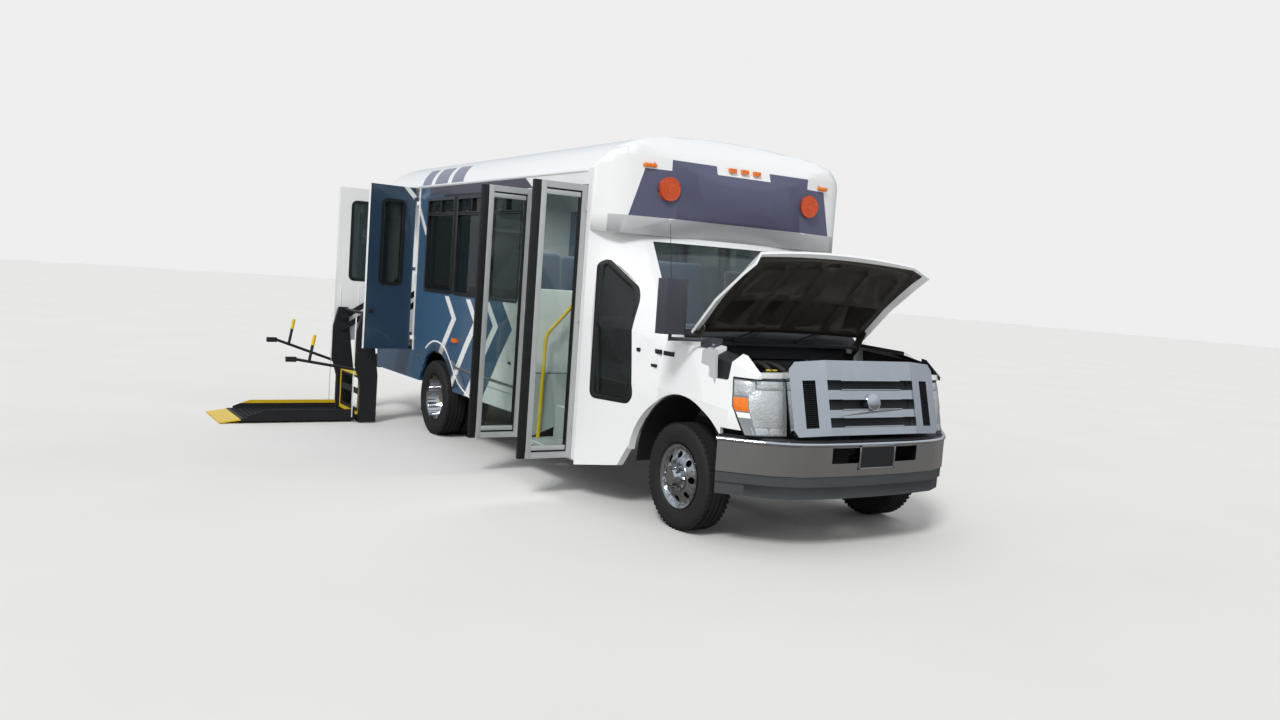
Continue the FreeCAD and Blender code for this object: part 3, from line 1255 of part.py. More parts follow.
# Cab inside: dashboard with steering wheel, engine cover, seats and rails
def dashboard():
    face = prism_y([(-200, 1000), (-200, 1285), (-620, 1290), (-660, 1180), (-600, 960)], -880, 880)
    cover = prism_y([(-200, CAB_FLOOR_Z), (-200, 1190), (-600, 1190), (-960, 1000), (-1010, CAB_FLOOR_Z)],
                    -430, 310)
    engine_room = box(ENGINE[0] - 10, ENGINE[1], -ENGINE[2] - 10, ENGINE[2] + 10, 0, ENGINE[4] + 70)
    solid = cut(fuse([face, cover]), [cab_wall, engine_room])
    body = max(solid.Solids, key=lambda s: s.Volume)
    centre = V(*WHEEL_CENTRE)
    axis = V(-math.cos(WHEEL_RAKE), 0, math.sin(WHEEL_RAKE))
    rim = Part.makeTorus(WHEEL_RIM_R, 14, centre, axis)
    hub = Part.makeCylinder(48, 40, centre - axis * 20, axis)
    column = Part.makeCylinder(26, 190, centre, axis * -1)
    spokes = []
    for turn in (0, 120, 240):
        out = turned_vector(V(0, 1, 0), axis, turn + 30)
        spokes.append(Part.makeCylinder(11, WHEEL_RIM_R, centre, out))
    return fuse([body, rim, hub, column] + spokes)


def turned_vector(vector, axis, angle):
    return FreeCAD.Rotation(axis, angle).multVec(vector)


WHEEL_CENTRE = (-705, 550, 1335)
WHEEL_RIM_R = 188
WHEEL_RAKE = math.radians(30)


pieces["dashboard"] = dashboard()
AISLE_HALF = 300
SEAT_W = INNER_HALF - 34 - AISLE_HALF
SEAT_Y = AISLE_HALF + SEAT_W / 2
SEAT_SPOTS = [
    # x of the cushion's front edge, and the side
    (-2350, 1), (-3100, 1), (-3850, 1), (-4600, 1),
    (-2700, -1), (-3450, -1), (-4100, -1),
]


def seat(x, y, width, base_z, sit_z, back_z):
    cushion = box(x - 430, x, y - width / 2, y + width / 2, sit_z - 90, sit_z)
    back = prism_y([(x - 430, sit_z - 90), (x - 345, sit_z), (x - 470, back_z), (x - 530, back_z)],
                   y - width / 2, y + width / 2)
    leg = box(x - 330, x - 100, y - width / 4, y + width / 4, base_z, sit_z - 90)
    return fuse([cushion, back, leg])


pieces["driver_seat"] = seat(-820, 550, 430, CAB_FLOOR_Z, 1130, 1830)
pieces["passenger_seats"] = Part.makeCompound([seat(x, s * SEAT_Y, SEAT_W, FLOOR_Z, 1290, 1900)
                                               for x, s in SEAT_SPOTS])

RAIL_R = 16


def grab_rails():
    top = SHOULDER_Z - ROOF_T - 1.2
    rails = []
    for x, bend_z in ((WELL_REAR + 45, 1590), (WELL_FRONT - 45, 1520)):
        rails.append(pipe([(x, -1040, ENTRY_BOTTOM + 1), (x, -1020, 1180), (x, -640, bend_z), (x, -600, top)],
                          RAIL_R, 120))
    return Part.makeCompound(rails)


pieces["grab_rails"] = grab_rails()


# Entry leaves, built shut and then turned open about pins beside the jambs
ENTRY_LEAF_W = (ENTRY_PIN_FRONT - ENTRY_PIN_REAR) / 2 - LEAF_EDGE - 5
ENTRY_LEAF_BORDER = 55
SHUT_FACE = BODY_HALF - 2
ENTRY_LEAF_Z = (ENTRY_BOTTOM + 8, ENTRY_TOP - 8)


def entry_leaf(hinge_x, way):
    """Frame and pane of one leaf; way is -1 where the shut leaf runs rearward from its hinge."""
    x0 = hinge_x + way * LEAF_EDGE
    x1 = x0 + way * ENTRY_LEAF_W
    z0, z1 = ENTRY_LEAF_Z
    y0 = -SHUT_FACE
    y1 = -SHUT_FACE + LEAF_T
    ring = frame_ring(min(x0, x1), max(x0, x1), z0, z1, ENTRY_LEAF_BORDER, y0, y1)
    pane = box(x0 + way * ENTRY_LEAF_BORDER, x1 - way * ENTRY_LEAF_BORDER, y0 + 14, y0 + 14 + GLASS_T,
               z0 + ENTRY_LEAF_BORDER, z1 - ENTRY_LEAF_BORDER)
    straps = hinge_straps(hinge_x, ENTRY_PIN_Y, way, ENTRY_HINGE_Z, ENTRY_PIN_Y + 8, LEAF_EDGE)
    return fuse([ring] + straps), pane


entry_hinges = {"front": (ENTRY_PIN_FRONT, -1, 90), "rear": (ENTRY_PIN_REAR, 1, -90)}
for name, (hinge_x, way, angle) in entry_hinges.items():
    ring, pane = entry_leaf(hinge_x, way)
    pieces["entry_leaf_" + name] = turned(ring, angle, (hinge_x, ENTRY_PIN_Y, 0), (0, 0, 1))
    pieces["entry_glass_" + name] = turned(pane, angle, (hinge_x, ENTRY_PIN_Y, 0), (0, 0, 1))

# Lift leaves with a tall window each
LIFT_LEAF_W = (LIFT_FRONT - LIFT_REAR) / 2 - LEAF_EDGE - 5
LIFT_LEAF_Z = (LIFT_SILL + 8, LIFT_HEAD - 8)
LIFT_WINDOW_Z = (1475, 2320)
LIFT_WINDOW_MARGIN = (133, 148)
LIFT_WINDOW_CORNER = 45


def lift_leaf(hinge_x, way):
    x0 = hinge_x + way * LEAF_EDGE
    x1 = x0 + way * LIFT_LEAF_W
    y0 = -BODY_HALF
    y1 = y0 + LIFT_LEAF_T
    z0, z1 = LIFT_LEAF_Z
    slab = box(x0, x1, y0, y1, z0, z1)
    wx0 = x0 + way * LIFT_WINDOW_MARGIN[0]
    wx1 = x1 - way * LIFT_WINDOW_MARGIN[1]
    hole = soft_box(wx0, wx1, y0 - 1, y1 + 1, LIFT_WINDOW_Z[0], LIFT_WINDOW_Z[1], LIFT_WINDOW_CORNER)
    pane = soft_box(wx0, wx1, y0 + 16, y0 + 16 + GLASS_T, LIFT_WINDOW_Z[0], LIFT_WINDOW_Z[1], LIFT_WINDOW_CORNER)
    straps = hinge_straps(hinge_x, BODY_HINGE_Y, way, LIFT_HINGE_Z, y0, LEAF_EDGE)
    return fuse([cut(slab, hole)] + straps), pane


lift_hinges = {
    "front": (LIFT_FRONT, -1, LIFT_FRONT_ANGLE),
    "rear": (LIFT_REAR, 1, -90),
}
for name, (hinge_x, way, angle) in lift_hinges.items():
    slab, pane = lift_leaf(hinge_x, way)
    whole = Part.makeCompound([slab, pane])
    pieces["lift_leaf_" + name] = turned(whole, angle, (hinge_x, BODY_HINGE_Y, 0), (0, 0, 1))

# Lift: posts inside the doorway, parallel arms, towers with rails, platform, flap and bridge
TOWER_REAR = LIFT_FRONT + LIFT_REAR - TOWER_FRONT
TOWER_SIDES = [
    # outer x, inner x of each tower
    (TOWER_FRONT, TOWER_FRONT - TOWER_T),
    (TOWER_REAR, TOWER_REAR + TOWER_T),
]
ARM_RUN = ARM_LENGTH * math.cos(math.radians(ARM_ANGLE))
ARM_DROP = ARM_LENGTH * math.sin(math.radians(ARM_ANGLE))
POST_Y = TOWER_Y - ARM_RUN
TOWER_PIVOTS = (TOWER_TOP - 80, TOWER_TOP - 80 - ARM_SPACING)
POST_PIVOTS = tuple(z + ARM_DROP for z in TOWER_PIVOTS)


def inward(outer_x, inner_x):
    return 1 if inner_x > outer_x else -1


FLAP_BARREL_R = 8
BRIDGE_BARREL_R = 8
FLAP_PIVOT_Y = -DECK_Y - DECK_LENGTH - 9


def lift_base():
    parts = [box(TOWER_REAR, TOWER_FRONT, -POST_Y - 70, -POST_Y + 70, FLOOR_Z, FLOOR_Z + 12)]
    for x0, x1 in TOWER_SIDES:
        parts.append(box(x0, x1, -POST_Y - 55, -POST_Y + 55, FLOOR_Z, POST_PIVOTS[0] + 60))
    bores = []
    for x0, x1 in TOWER_SIDES:
        for z in POST_PIVOTS:
            bores.append(rod((min(x0, x1) - 1, -POST_Y, z), (max(x0, x1) + 1, -POST_Y, z), PIN_R + FIT))
    return cut(fuse(parts), bores)


def lift_link(k):
    """The pair of links on one level, with the pins that carry them."""
    links = []
    for x0, x1 in TOWER_SIDES:
        step = inward(x0, x1)
        a0 = x1 + step * 3
        a1 = a0 + step * ARM_T
        start = V(a0, -POST_Y, POST_PIVOTS[k])
        end = V(a0, -TOWER_Y, TOWER_PIVOTS[k])
        along = (end - start).normalize()
        across = V(0, -along.z, along.y) * (ARM_W / 2)
        face = Part.Face(Part.makePolygon([start + across, end + across, end - across, start - across,
                                           start + across]))
        bar = face.extrude(V(step * ARM_T, 0, 0))
        ends = [Part.makeCylinder(ARM_W / 2, ARM_T, V(min(a0, a1), p.y, p.z), V(1, 0, 0)) for p in (start, end)]
        pins = [rod((a0, p.y, p.z), (x0 + step * 4, p.y, p.z), PIN_R) for p in (start, end)]
        links.append(fuse([bar] + ends + pins))
    return Part.makeCompound(links)


TOWER_FOOT_Y = (1545, 1722)
HANDRAIL_Y = TOWER_Y + 30
HANDRAIL_Z = 545


def lift_towers():
    parts = []
    foot0, foot1 = TOWER_FOOT_Y
    profile = [(-foot0, 10), (-foot1, 10), (-foot1, 400), (-1790, 640), (-1790, 900), (-1730, TOWER_TOP + 30),
               (-1630, TOWER_TOP + 30), (-1600, 900), (-foot0, 500)]
    for x0, x1 in TOWER_SIDES:
        parts.append(prism_x(profile, x0, x1))
    bar = [TOWER_FRONT - TOWER_T + 10, -1655, TOWER_TOP + 5]
    parts.append(rod(bar, [TOWER_REAR + TOWER_T - 10] + bar[1:], 16))
    parts.append(box(TOWER_FRONT - TOWER_T, TOWER_REAR + TOWER_T, -foot1 + 15, -foot1 + 45, 10, 30))
    by, bz = BRIDGE_PIVOT
    for x in (-5450, -5000):
        parts.append(box(x - 20, x + 20, by - 12, by + 12, 28, bz - BRIDGE_BARREL_R - FIT))
    fy, fz = FOLD_PIVOT
    for x0, x1 in TOWER_SIDES:
        step = inward(x0, x1)
        parts.append(rod((x1 - step * 5, fy, fz), (x1 + step * (ARM_T + 15 + CURB_T), fy, fz), FOLD_PIN_R))
    for (x0, x1), rise in zip(TOWER_SIDES, (0.16, 0.34)):
        x = (x0 + x1) / 2
        reach = 680
        end_z = HANDRAIL_Z + rise * reach
        parts.append(rod((x, -1700, HANDRAIL_Z), (x, -1790 - reach + 90, end_z), 15))
        grip_y = -1790 - reach + 220
        grip_z = HANDRAIL_Z + rise * (-grip_y - 1700)
        parts.append(rod((x, grip_y, grip_z), (x, grip_y + 45, grip_z + 270), 15))
        parts.append(box(x - 22, x + 22, -1790 - reach + 90, -1790 - reach - 10, end_z - 25, end_z + 25))
    bores = []
    for x0, x1 in TOWER_SIDES:
        for z in TOWER_PIVOTS:
            bores.append(rod((min(x0, x1) - 1, -TOWER_Y, z), (max(x0, x1) + 1, -TOWER_Y, z), PIN_R + FIT))
    return cut(fuse(parts), bores)


PLATFORM_FRONT = TOWER_FRONT - TOWER_T - ARM_T - 15
PLATFORM_REAR = TOWER_REAR + TOWER_T + ARM_T + 15


def lift_platform():
    y0 = -DECK_Y
    y1 = -DECK_Y - DECK_LENGTH
    deck = box(PLATFORM_REAR, PLATFORM_FRONT, y0, y1, DECK_Z, DECK_Z + DECK_T)
    curbs = []
    for x0, x1 in ((PLATFORM_FRONT, PLATFORM_FRONT - CURB_T), (PLATFORM_REAR, PLATFORM_REAR + CURB_T)):
        curbs.append(prism_x([(y0, DECK_Z), (y0, DECK_Z + CURB_H), (y1 + 230, DECK_Z + CURB_H),
                              (y1 + 60, DECK_Z + 50), (y1 + 60, DECK_Z)], x0, x1))
        curbs.append(box(x0, x1, y0 - 10, FOLD_PIVOT[0], FOLD_PIVOT[1] - 20, FOLD_PIVOT[1] + 20))
        curbs.append(rod((x0, FOLD_PIVOT[0], FOLD_PIVOT[1]), (x1, FOLD_PIVOT[0], FOLD_PIVOT[1]), 20))
    lip = box(PLATFORM_REAR, PLATFORM_FRONT, y1, y1 - 17, DECK_Z, FLAP_PIVOT_Z - FLAP_BARREL_R - FIT)
    pins = rod((PLATFORM_REAR - 1, FOLD_PIVOT[0], FOLD_PIVOT[1]), (PLATFORM_FRONT + 1, FOLD_PIVOT[0],
                                                                  FOLD_PIVOT[1]), FOLD_PIN_R + FIT)
    return cut(fuse([deck, lip] + curbs), pins)


def lift_flap():
    y0 = FLAP_PIVOT_Y
    plate = prism_x([(y0, 43), (y0, 29), (y0 - FLAP_LENGTH, 4), (y0 - FLAP_LENGTH, 16)],
                    PLATFORM_REAR, PLATFORM_FRONT)
    barrel = rod((PLATFORM_REAR, y0, FLAP_PIVOT_Z), (PLATFORM_FRONT, y0, FLAP_PIVOT_Z), FLAP_BARREL_R)
    return fuse([plate, barrel])


BRIDGE_H = 450


def lift_bridge():
    x0 = PLATFORM_REAR + CURB_T + 14
    x1 = PLATFORM_FRONT - CURB_T - 14
    by, bz = BRIDGE_PIVOT
    plate = box(x0, x1, by - 7, by + 7, bz, bz + BRIDGE_H)
    holes = [box(x0 + 60, x1 - 60, by - 8, by + 8, bz + a, bz + b) for a, b in ((70, 220), (280, 390))]
    barrel = rod((x0, by, bz), (x1, by, bz), BRIDGE_BARREL_R)
    return fuse([cut(plate, holes), barrel])


pieces["lift_base"] = lift_base()
pieces["lift_arms"] = lift_link(1)
pieces["lift_links"] = lift_link(0)
pieces["lift_towers"] = lift_towers()
pieces["lift_platform"] = lift_platform()
pieces["lift_flap"] = lift_flap()
pieces["lift_bridge"] = lift_bridge()

# Move the whole to the middle of its own box, standing on z = 0, and write each piece
whole = Part.makeCompound(list(pieces.values())).optimalBoundingBox(False)
shift = V(-(whole.XMin + whole.XMax) / 2, -(whole.YMin + whole.YMax) / 2, -whole.ZMin)
os.makedirs("parts", exist_ok=True)
for name, shape in pieces.items():
    placed = shape.copy()
    placed.translate(shift)
    placed.exportStep("parts/" + name + ".step")
print("shift of the axle frame", [round(v, 3) for v in shift])
print("pieces", len(pieces), "box", round(whole.XLength), round(whole.YLength), round(whole.ZLength))
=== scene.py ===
import bmesh
import bpy
import json
import math
from mathutils import Matrix, Vector


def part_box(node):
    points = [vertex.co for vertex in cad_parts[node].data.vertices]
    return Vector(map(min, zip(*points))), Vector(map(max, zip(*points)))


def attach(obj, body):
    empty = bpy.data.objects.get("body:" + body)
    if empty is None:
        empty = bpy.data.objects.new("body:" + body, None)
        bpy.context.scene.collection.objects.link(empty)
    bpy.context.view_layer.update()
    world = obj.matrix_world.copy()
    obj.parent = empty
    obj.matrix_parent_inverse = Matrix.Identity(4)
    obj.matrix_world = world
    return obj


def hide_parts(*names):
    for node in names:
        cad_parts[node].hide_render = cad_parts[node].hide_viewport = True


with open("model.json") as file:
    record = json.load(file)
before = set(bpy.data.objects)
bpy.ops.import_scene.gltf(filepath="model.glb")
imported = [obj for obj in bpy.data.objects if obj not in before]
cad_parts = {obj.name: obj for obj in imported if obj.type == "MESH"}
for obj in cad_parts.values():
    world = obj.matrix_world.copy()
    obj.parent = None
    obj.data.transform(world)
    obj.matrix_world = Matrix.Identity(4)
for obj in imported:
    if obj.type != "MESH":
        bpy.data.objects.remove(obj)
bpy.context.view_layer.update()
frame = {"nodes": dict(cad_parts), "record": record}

# Viewpoint: a handheld camera at eye height off the front right corner, as in the photograph.
# Places are measured from the front axle on the centre plane, x forward, y to the left.
EYE = (5.731, -5.006, 1.714)
YAW, PITCH, ROLL = (math.radians(a) for a in (147.46, -4.57, 4.05))
PHOTO_WIDTH = 1280
FOCAL_PIXELS = 1028.8
SENSOR_MM = 36.0


def middle(node_name):
    low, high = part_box(node_name)
    return (low + high) / 2


def placed(name, data):
    """A new object with this data, in the scene."""
    thing = bpy.data.objects.new(name, data)
    bpy.context.scene.collection.objects.link(thing)
    return thing


axle = Vector((middle("tyre_front_left").x, middle("roof").y, 0))
ahead = Vector((math.cos(PITCH) * math.cos(YAW), math.cos(PITCH) * math.sin(YAW), math.sin(PITCH)))
level_right = ahead.cross(Vector((0, 0, 1))).normalized()
level_up = level_right.cross(ahead)
right = level_right * math.cos(ROLL) + level_up * math.sin(ROLL)
up = level_up * math.cos(ROLL) - level_right * math.sin(ROLL)
camera = placed("viewpoint", bpy.data.cameras.new("viewpoint"))
camera.data.sensor_width = SENSOR_MM
camera.data.lens = FOCAL_PIXELS * SENSOR_MM / PHOTO_WIDTH
facing = Matrix((right, up, -ahead)).transposed().to_4x4()
camera.matrix_world = Matrix.Translation(axle + Vector(EYE)) @ facing
bpy.context.scene.camera = camera
bpy.context.scene.view_settings.view_transform = "Standard"


def linear(code):
    """An sRGB hex colour as the linear RGBA that sockets take."""
    channels = [int(code[i:i + 2], 16) / 255 for i in (1, 3, 5)]
    return tuple(c / 12.92 if c <= 0.04045 else ((c + 0.055) / 1.055) ** 2.4 for c in channels) + (1.0,)


def add(tree, kind, inputs=None, **settings):
    """A node with its settings; inputs maps a socket to a value or to the socket that feeds it."""
    made = tree.nodes.new(kind)
    for name, value in settings.items():
        setattr(made, name, value)
    for socket, value in (inputs or {}).items():
        if isinstance(value, bpy.types.NodeSocket):
            tree.links.new(value, made.inputs[socket])
        else:
            made.inputs[socket].default_value = value
    return made


# Studio: a pale matt floor under an even sky, with a large soft lamp high on the camera's side.
# Chrome and glass see a sky that pales upwards from a grey horizon, and darker ground, as in a yard.
FLOOR_HALF = 70.0
SKY_LEVEL = 0.66
HORIZON_LEVEL = 0.42
CLIMB_END = 0.45
BACKDROP_LEVEL = 0.86
KEY_LEVEL = 1.95
KEY_TURN = (math.radians(46), math.radians(10), math.radians(30))
KEY_SOFTNESS = math.radians(14)
CABIN_WATTS = 75
CABIN_LAMP = (-3.3, 0.0, 2.5)
CABIN_LAMP_SIZE = (3.6, 1.2)

world = bpy.data.worlds.new("studio_sky")
bpy.context.scene.world = world
world.use_nodes = True
sky = world.node_tree
sky.nodes.clear()
path = add(sky, "ShaderNodeLightPath").outputs
heading = add(sky, "ShaderNodeSeparateXYZ", {0: add(sky, "ShaderNodeTexCoord").outputs["Generated"]})
climb = add(sky, "ShaderNodeMapRange", {"Value": heading.outputs["Z"], "From Min": 0.0, "From Max": CLIMB_END,
                                        "To Min": HORIZON_LEVEL, "To Max": 1.0})
mirrored = add(sky, "ShaderNodeMapRange", {"Value": path["Is Glossy Ray"], "To Min": SKY_LEVEL,
                                           "To Max": climb.outputs[0]})
plain = add(sky, "ShaderNodeMath", {0: path["Is Camera Ray"], 1: path["Is Transmission Ray"]},
            operation="MAXIMUM")
level = add(sky, "ShaderNodeMapRange", {"Value": plain.outputs[0], "To Min": mirrored.outputs[0],
                                        "To Max": BACKDROP_LEVEL})
hue = add(sky, "ShaderNodeMix", {"Factor": path["Is Glossy Ray"], "A": linear("#ffffff"),
                                 "B": linear("#dbe2ec")}, data_type="RGBA")
glow = add(sky, "ShaderNodeBackground", {"Color": hue.outputs["Result"], "Strength": level.outputs[0]})
add(sky, "ShaderNodeOutputWorld", {"Surface": glow.outputs[0]})

key = placed("key_lamp", bpy.data.lights.new("key_lamp", "SUN"))
key.data.energy = KEY_LEVEL
key.data.angle = KEY_SOFTNESS
key.rotation_euler = KEY_TURN
# Daylight that would come in through the roof hatch and open doors, spread over the cabin ceiling.
cabin = placed("cabin_lamp", bpy.data.lights.new("cabin_lamp", "AREA"))
cabin.data.shape = "RECTANGLE"
cabin.data.size, cabin.data.size_y = CABIN_LAMP_SIZE
cabin.data.energy = CABIN_WATTS
cabin.location = axle + Vector(CABIN_LAMP)
cabin.visible_camera = False
cabin.visible_glossy = False
cabin.visible_transmission = False


def finish(name, first=None, second=None, scale=1.0, rough=None, bump=0.0, grain=100.0, depth=0.002,
           detail=3.0, **values):
    """A material whose colour drifts between two close tones, with an optional roughness range and
    fine relief; the values that are the same all over are set on the shader's sockets."""
    material = bpy.data.materials.new(name)
    material.use_nodes = True
    tree = material.node_tree
    shader = tree.nodes["Principled BSDF"]
    for socket, value in values.items():
        shader.inputs[socket.replace("_", " ")].default_value = value
    if not first:
        return material
    place = add(tree, "ShaderNodeTexCoord").outputs["Object"]
    drift = add(tree, "ShaderNodeTexNoise", {"Vector": place, "Scale": scale, "Detail": detail})
    tone = add(tree, "ShaderNodeMix", {"Factor": drift.outputs["Fac"], "A": linear(first),
                                       "B": linear(second)}, data_type="RGBA")
    tree.links.new(tone.outputs["Result"], shader.inputs["Base Color"])
    if rough:
        gloss = add(tree, "ShaderNodeMapRange", {"Value": drift.outputs["Fac"], "To Min": rough[0],
                                                 "To Max": rough[1]})
        tree.links.new(gloss.outputs[0], shader.inputs["Roughness"])
    if bump:
        speck = add(tree, "ShaderNodeTexNoise", {"Vector": place, "Scale": grain, "Detail": 2.0})
        relief = add(tree, "ShaderNodeBump", {"Height": speck.outputs["Fac"], "Strength": bump,
                                              "Distance": depth})
        tree.links.new(relief.outputs[0], shader.inputs["Normal"])
    return material


matt_floor = finish("matt_floor_paint", "#dcdcda", "#e4e4e2", 0.6, detail=4.0, Roughness=0.8,
                    Specular_IOR_Level=0.2)
tree = matt_floor.node_tree
base = tree.nodes["Principled BSDF"].inputs["Base Color"]
seen = add(tree, "ShaderNodeLightPath").outputs["Is Glossy Ray"]
ground = add(tree, "ShaderNodeMix", {"Factor": seen, "A": base.links[0].from_socket, "B": linear("#6f6b67")},
             data_type="RGBA")
tree.links.new(ground.outputs["Result"], base)
sheet = bpy.data.meshes.new("studio_floor")
sheet.from_pydata([(x * FLOOR_HALF, y * FLOOR_HALF, 0) for x, y in ((-1, -1), (1, -1), (1, 1), (-1, 1))], [],
                  [(0, 1, 2, 3)])
sheet.materials.append(matt_floor)
placed("studio_floor", sheet)


# Ladder frame: two pressed channels with crossmembers, outriggers and the axles on their springs.
# Satin chassis paint under road dust looks dull and dark; the cast knuckles are rougher and browner,
# the aluminised exhaust has a soft grey sheen, and moulded plastic a fine grain without gloss.
body_of = {node: body for body, nodes in frame["record"]["behaviour"]["bodies"].items() for node in nodes}


def dress(material, *names):
    """Gives CAD nodes their finish."""
    for name in names:
        mesh = frame["nodes"][name].data
        mesh.materials.clear()
        mesh.materials.append(material)


chassis_paint = finish("satin_chassis_paint", "#17181a", "#2b2a28", 5.0, (0.45, 0.7), 0.25, 90.0)
cast_iron = finish("cast_iron", "#3a3836", "#4c4743", 14.0, (0.55, 0.75), 0.4, 220.0, Metallic=0.6)
aluminised_steel = finish("aluminised_steel", "#7d7a74", "#928e86", 11.0, (0.35, 0.55), 0.15, 200.0,
                          Metallic=0.9)
moulded_black = finish("black_moulded_plastic", "#17181a", "#222325", 6.0, (0.45, 0.62), 0.3, 420.0,
                       Specular_IOR_Level=0.4)
dress(chassis_paint, "frame_rails", "crossmembers", "front_axle", "rear_axle")
dress(cast_iron, "knuckle_left", "knuckle_right")
dress(aluminised_steel, "exhaust")
dress(moulded_black, "fuel_tank", "wheel_liners", "rear_bumper", "cowl")


# Own pieces are drawn in millimetres from the front axle, then set into the frame in metres.
def block(mesh, x0, x1, y0, y1, z0, z1, soft=0.0, steps=2):
    """A box between two corners, its edges rounded where soft is given."""
    verts = bmesh.ops.create_cube(mesh, size=1.0)["verts"]
    size = Vector((abs(x1 - x0), abs(y1 - y0), abs(z1 - z0)))
    centre = Vector(((x0 + x1) / 2, (y0 + y1) / 2, (z0 + z1) / 2))
    for vert in verts:
        vert.co = Vector(vert.co[i] * size[i] for i in range(3)) + centre
    if soft:
        edges = list({edge for vert in verts for edge in vert.link_edges})
        bmesh.ops.bevel(mesh, geom=edges, offset=soft, segments=steps, profile=0.5, affect="EDGES",
                        clamp_overlap=True)


def rod(mesh, start, end, radius, sides=16, end_radius=None):
    """A round bar between two points, tapering where end_radius is given."""
    start = Vector(start)
    along = Vector(end) - start
    place = Matrix.Translation(start + along / 2) @ along.to_track_quat("Z", "Y").to_matrix().to_4x4()
    bmesh.ops.create_cone(mesh, cap_ends=True, segments=sides, radius1=radius, depth=along.length,
                          radius2=radius if end_radius is None else end_radius, matrix=place)


def loft(mesh, rings, capped=True):
    """Skin through closed rings of points that all have the same count."""
    rows = [[mesh.verts.new(p) for p in ring] for ring in rings]
    count = len(rows[0])
    for near, far in zip(rows, rows[1:]):
        for i in range(count):
            j = (i + 1) % count
            mesh.faces.new((near[i], near[j], far[j], far[i]))
    if capped:
        mesh.faces.new(list(reversed(rows[0])))
        mesh.faces.new(rows[-1])


def welded(mesh, reach=0.05):
    bmesh.ops.remove_doubles(mesh, verts=mesh.verts[:], dist=reach)


def hoop(mesh, rings):
    """Skin through rings that ends where it began."""
    loft(mesh, rings + [rings[0]], capped=False)
    welded(mesh)


def circle(count, radius=1.0):
    """Points round a circle, as pairs."""
    angles = [2 * math.pi * k / count for k in range(count)]
    return [(radius * math.cos(angle), radius * math.sin(angle)) for angle in angles]


def tube(mesh, points, radius, sides=10):
    """A round bar along points; the section turns with the path."""
    points = [Vector(p) for p in points]
    rings = []
    for i, point in enumerate(points):
        along = points[min(i + 1, len(points) - 1)] - points[max(i - 1, 0)]
        facing = along.to_track_quat("Z", "Y")
        rings.append([point + facing @ Vector((a, b, 0)) for a, b in circle(sides, radius)])
    loft(mesh, rings)


def slab(mesh, outline, low, high):
    """An outline of x and z, carried along y from low to high."""
    loft(mesh, [[(x, y, z) for x, z in outline] for y in (low, high)])


def turn(mesh, angle, x, y):
    """Swings everything drawn so far about an upright pin, as the open leaf stands."""
    swing = Matrix.Rotation(math.radians(angle), 3, "Z")
    bmesh.ops.rotate(mesh, cent=(x, y, 0), verts=mesh.verts[:], matrix=swing)


def mirror(mesh):
    """Adds the same again on the other side of the centre plane."""
    made = bmesh.ops.duplicate(mesh, geom=mesh.verts[:] + mesh.edges[:] + mesh.faces[:])["geom"]
    bmesh.ops.scale(mesh, vec=(1, -1, 1), verts=[v for v in made if isinstance(v, bmesh.types.BMVert)])
    bmesh.ops.reverse_faces(mesh, faces=[f for f in made if isinstance(f, bmesh.types.BMFace)])


def settle(mesh, name, body, materials, crease=40.0, replaced=()):
    """Sets a drawn mesh into the frame as a piece that rides on its body."""
    bmesh.ops.recalc_face_normals(mesh, faces=mesh.faces[:])
    bmesh.ops.transform(mesh, verts=mesh.verts[:], matrix=Matrix.Translation(axle) @ Matrix.Scale(0.001, 4))
    data = bpy.data.meshes.new(name)
    mesh.to_mesh(data)
    mesh.free()
    for material in materials if isinstance(materials, (list, tuple)) else [materials]:
        data.materials.append(material)
    data.shade_smooth()
    data.set_sharp_from_angle(angle=math.radians(crease))
    piece = placed(name, data)
    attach(piece, body)
    if replaced:
        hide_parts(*replaced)
    return piece


def boxes(name, body, material, *rows, twice=False):
    """A piece made of boxes, on both sides where twice is set."""
    mesh = bmesh.new()
    for row in rows:
        block(mesh, *row)
    if twice:
        mirror(mesh)
    settle(mesh, name, body, material)


def taken(node_name):
    """The CAD node's form as a merged mesh in millimetres, to be finished as a sheet or moulding is."""
    mesh = bmesh.new()
    mesh.from_mesh(frame["nodes"][node_name].data)
    bmesh.ops.transform(mesh, verts=mesh.verts[:], matrix=Matrix.Scale(1000, 4) @ Matrix.Translation(-axle))
    welded(mesh, 0.02)
    bmesh.ops.dissolve_limit(mesh, angle_limit=math.radians(0.4), verts=mesh.verts[:], edges=mesh.edges[:])
    return mesh


def eased(mesh, width, angle, steps=2):
    """Rounds the crisp edges as pressing, moulding or paint does."""
    edges = [e for e in mesh.edges if len(e.link_faces) == 2 and e.calc_face_angle(0) > math.radians(angle)]
    bmesh.ops.bevel(mesh, geom=edges, offset=width, segments=steps, profile=0.5, affect="EDGES",
                    clamp_overlap=True)


def level_cuts(*heights):
    return [((0, 0, z), (0, 0, 1)) for z in heights]


def cross_cuts(*stations):
    return [((x, 0, 0), (1, 0, 0)) for x in stations]


def side_cuts(*distances):
    return [((0, y, 0), (0, 1, 0)) for y in distances]


def repainted(node, name, materials, choose=None, cuts=(), crease=40.0):
    """The CAD node's form in its enamels: the faces are cut along planes where one enamel meets
    another, then choose gives each face its enamel from its middle and its normal."""
    mesh = taken(node)
    for point, normal in cuts:
        bmesh.ops.bisect_plane(mesh, geom=mesh.verts[:] + mesh.edges[:] + mesh.faces[:], plane_co=point,
                               plane_no=normal, dist=0.01)
    mesh.normal_update()
    if choose:
        for face in mesh.faces:
            face.material_index = choose(face.calc_center_median(), face.normal)
    settle(mesh, name, body_of[node], materials, crease, (node,))


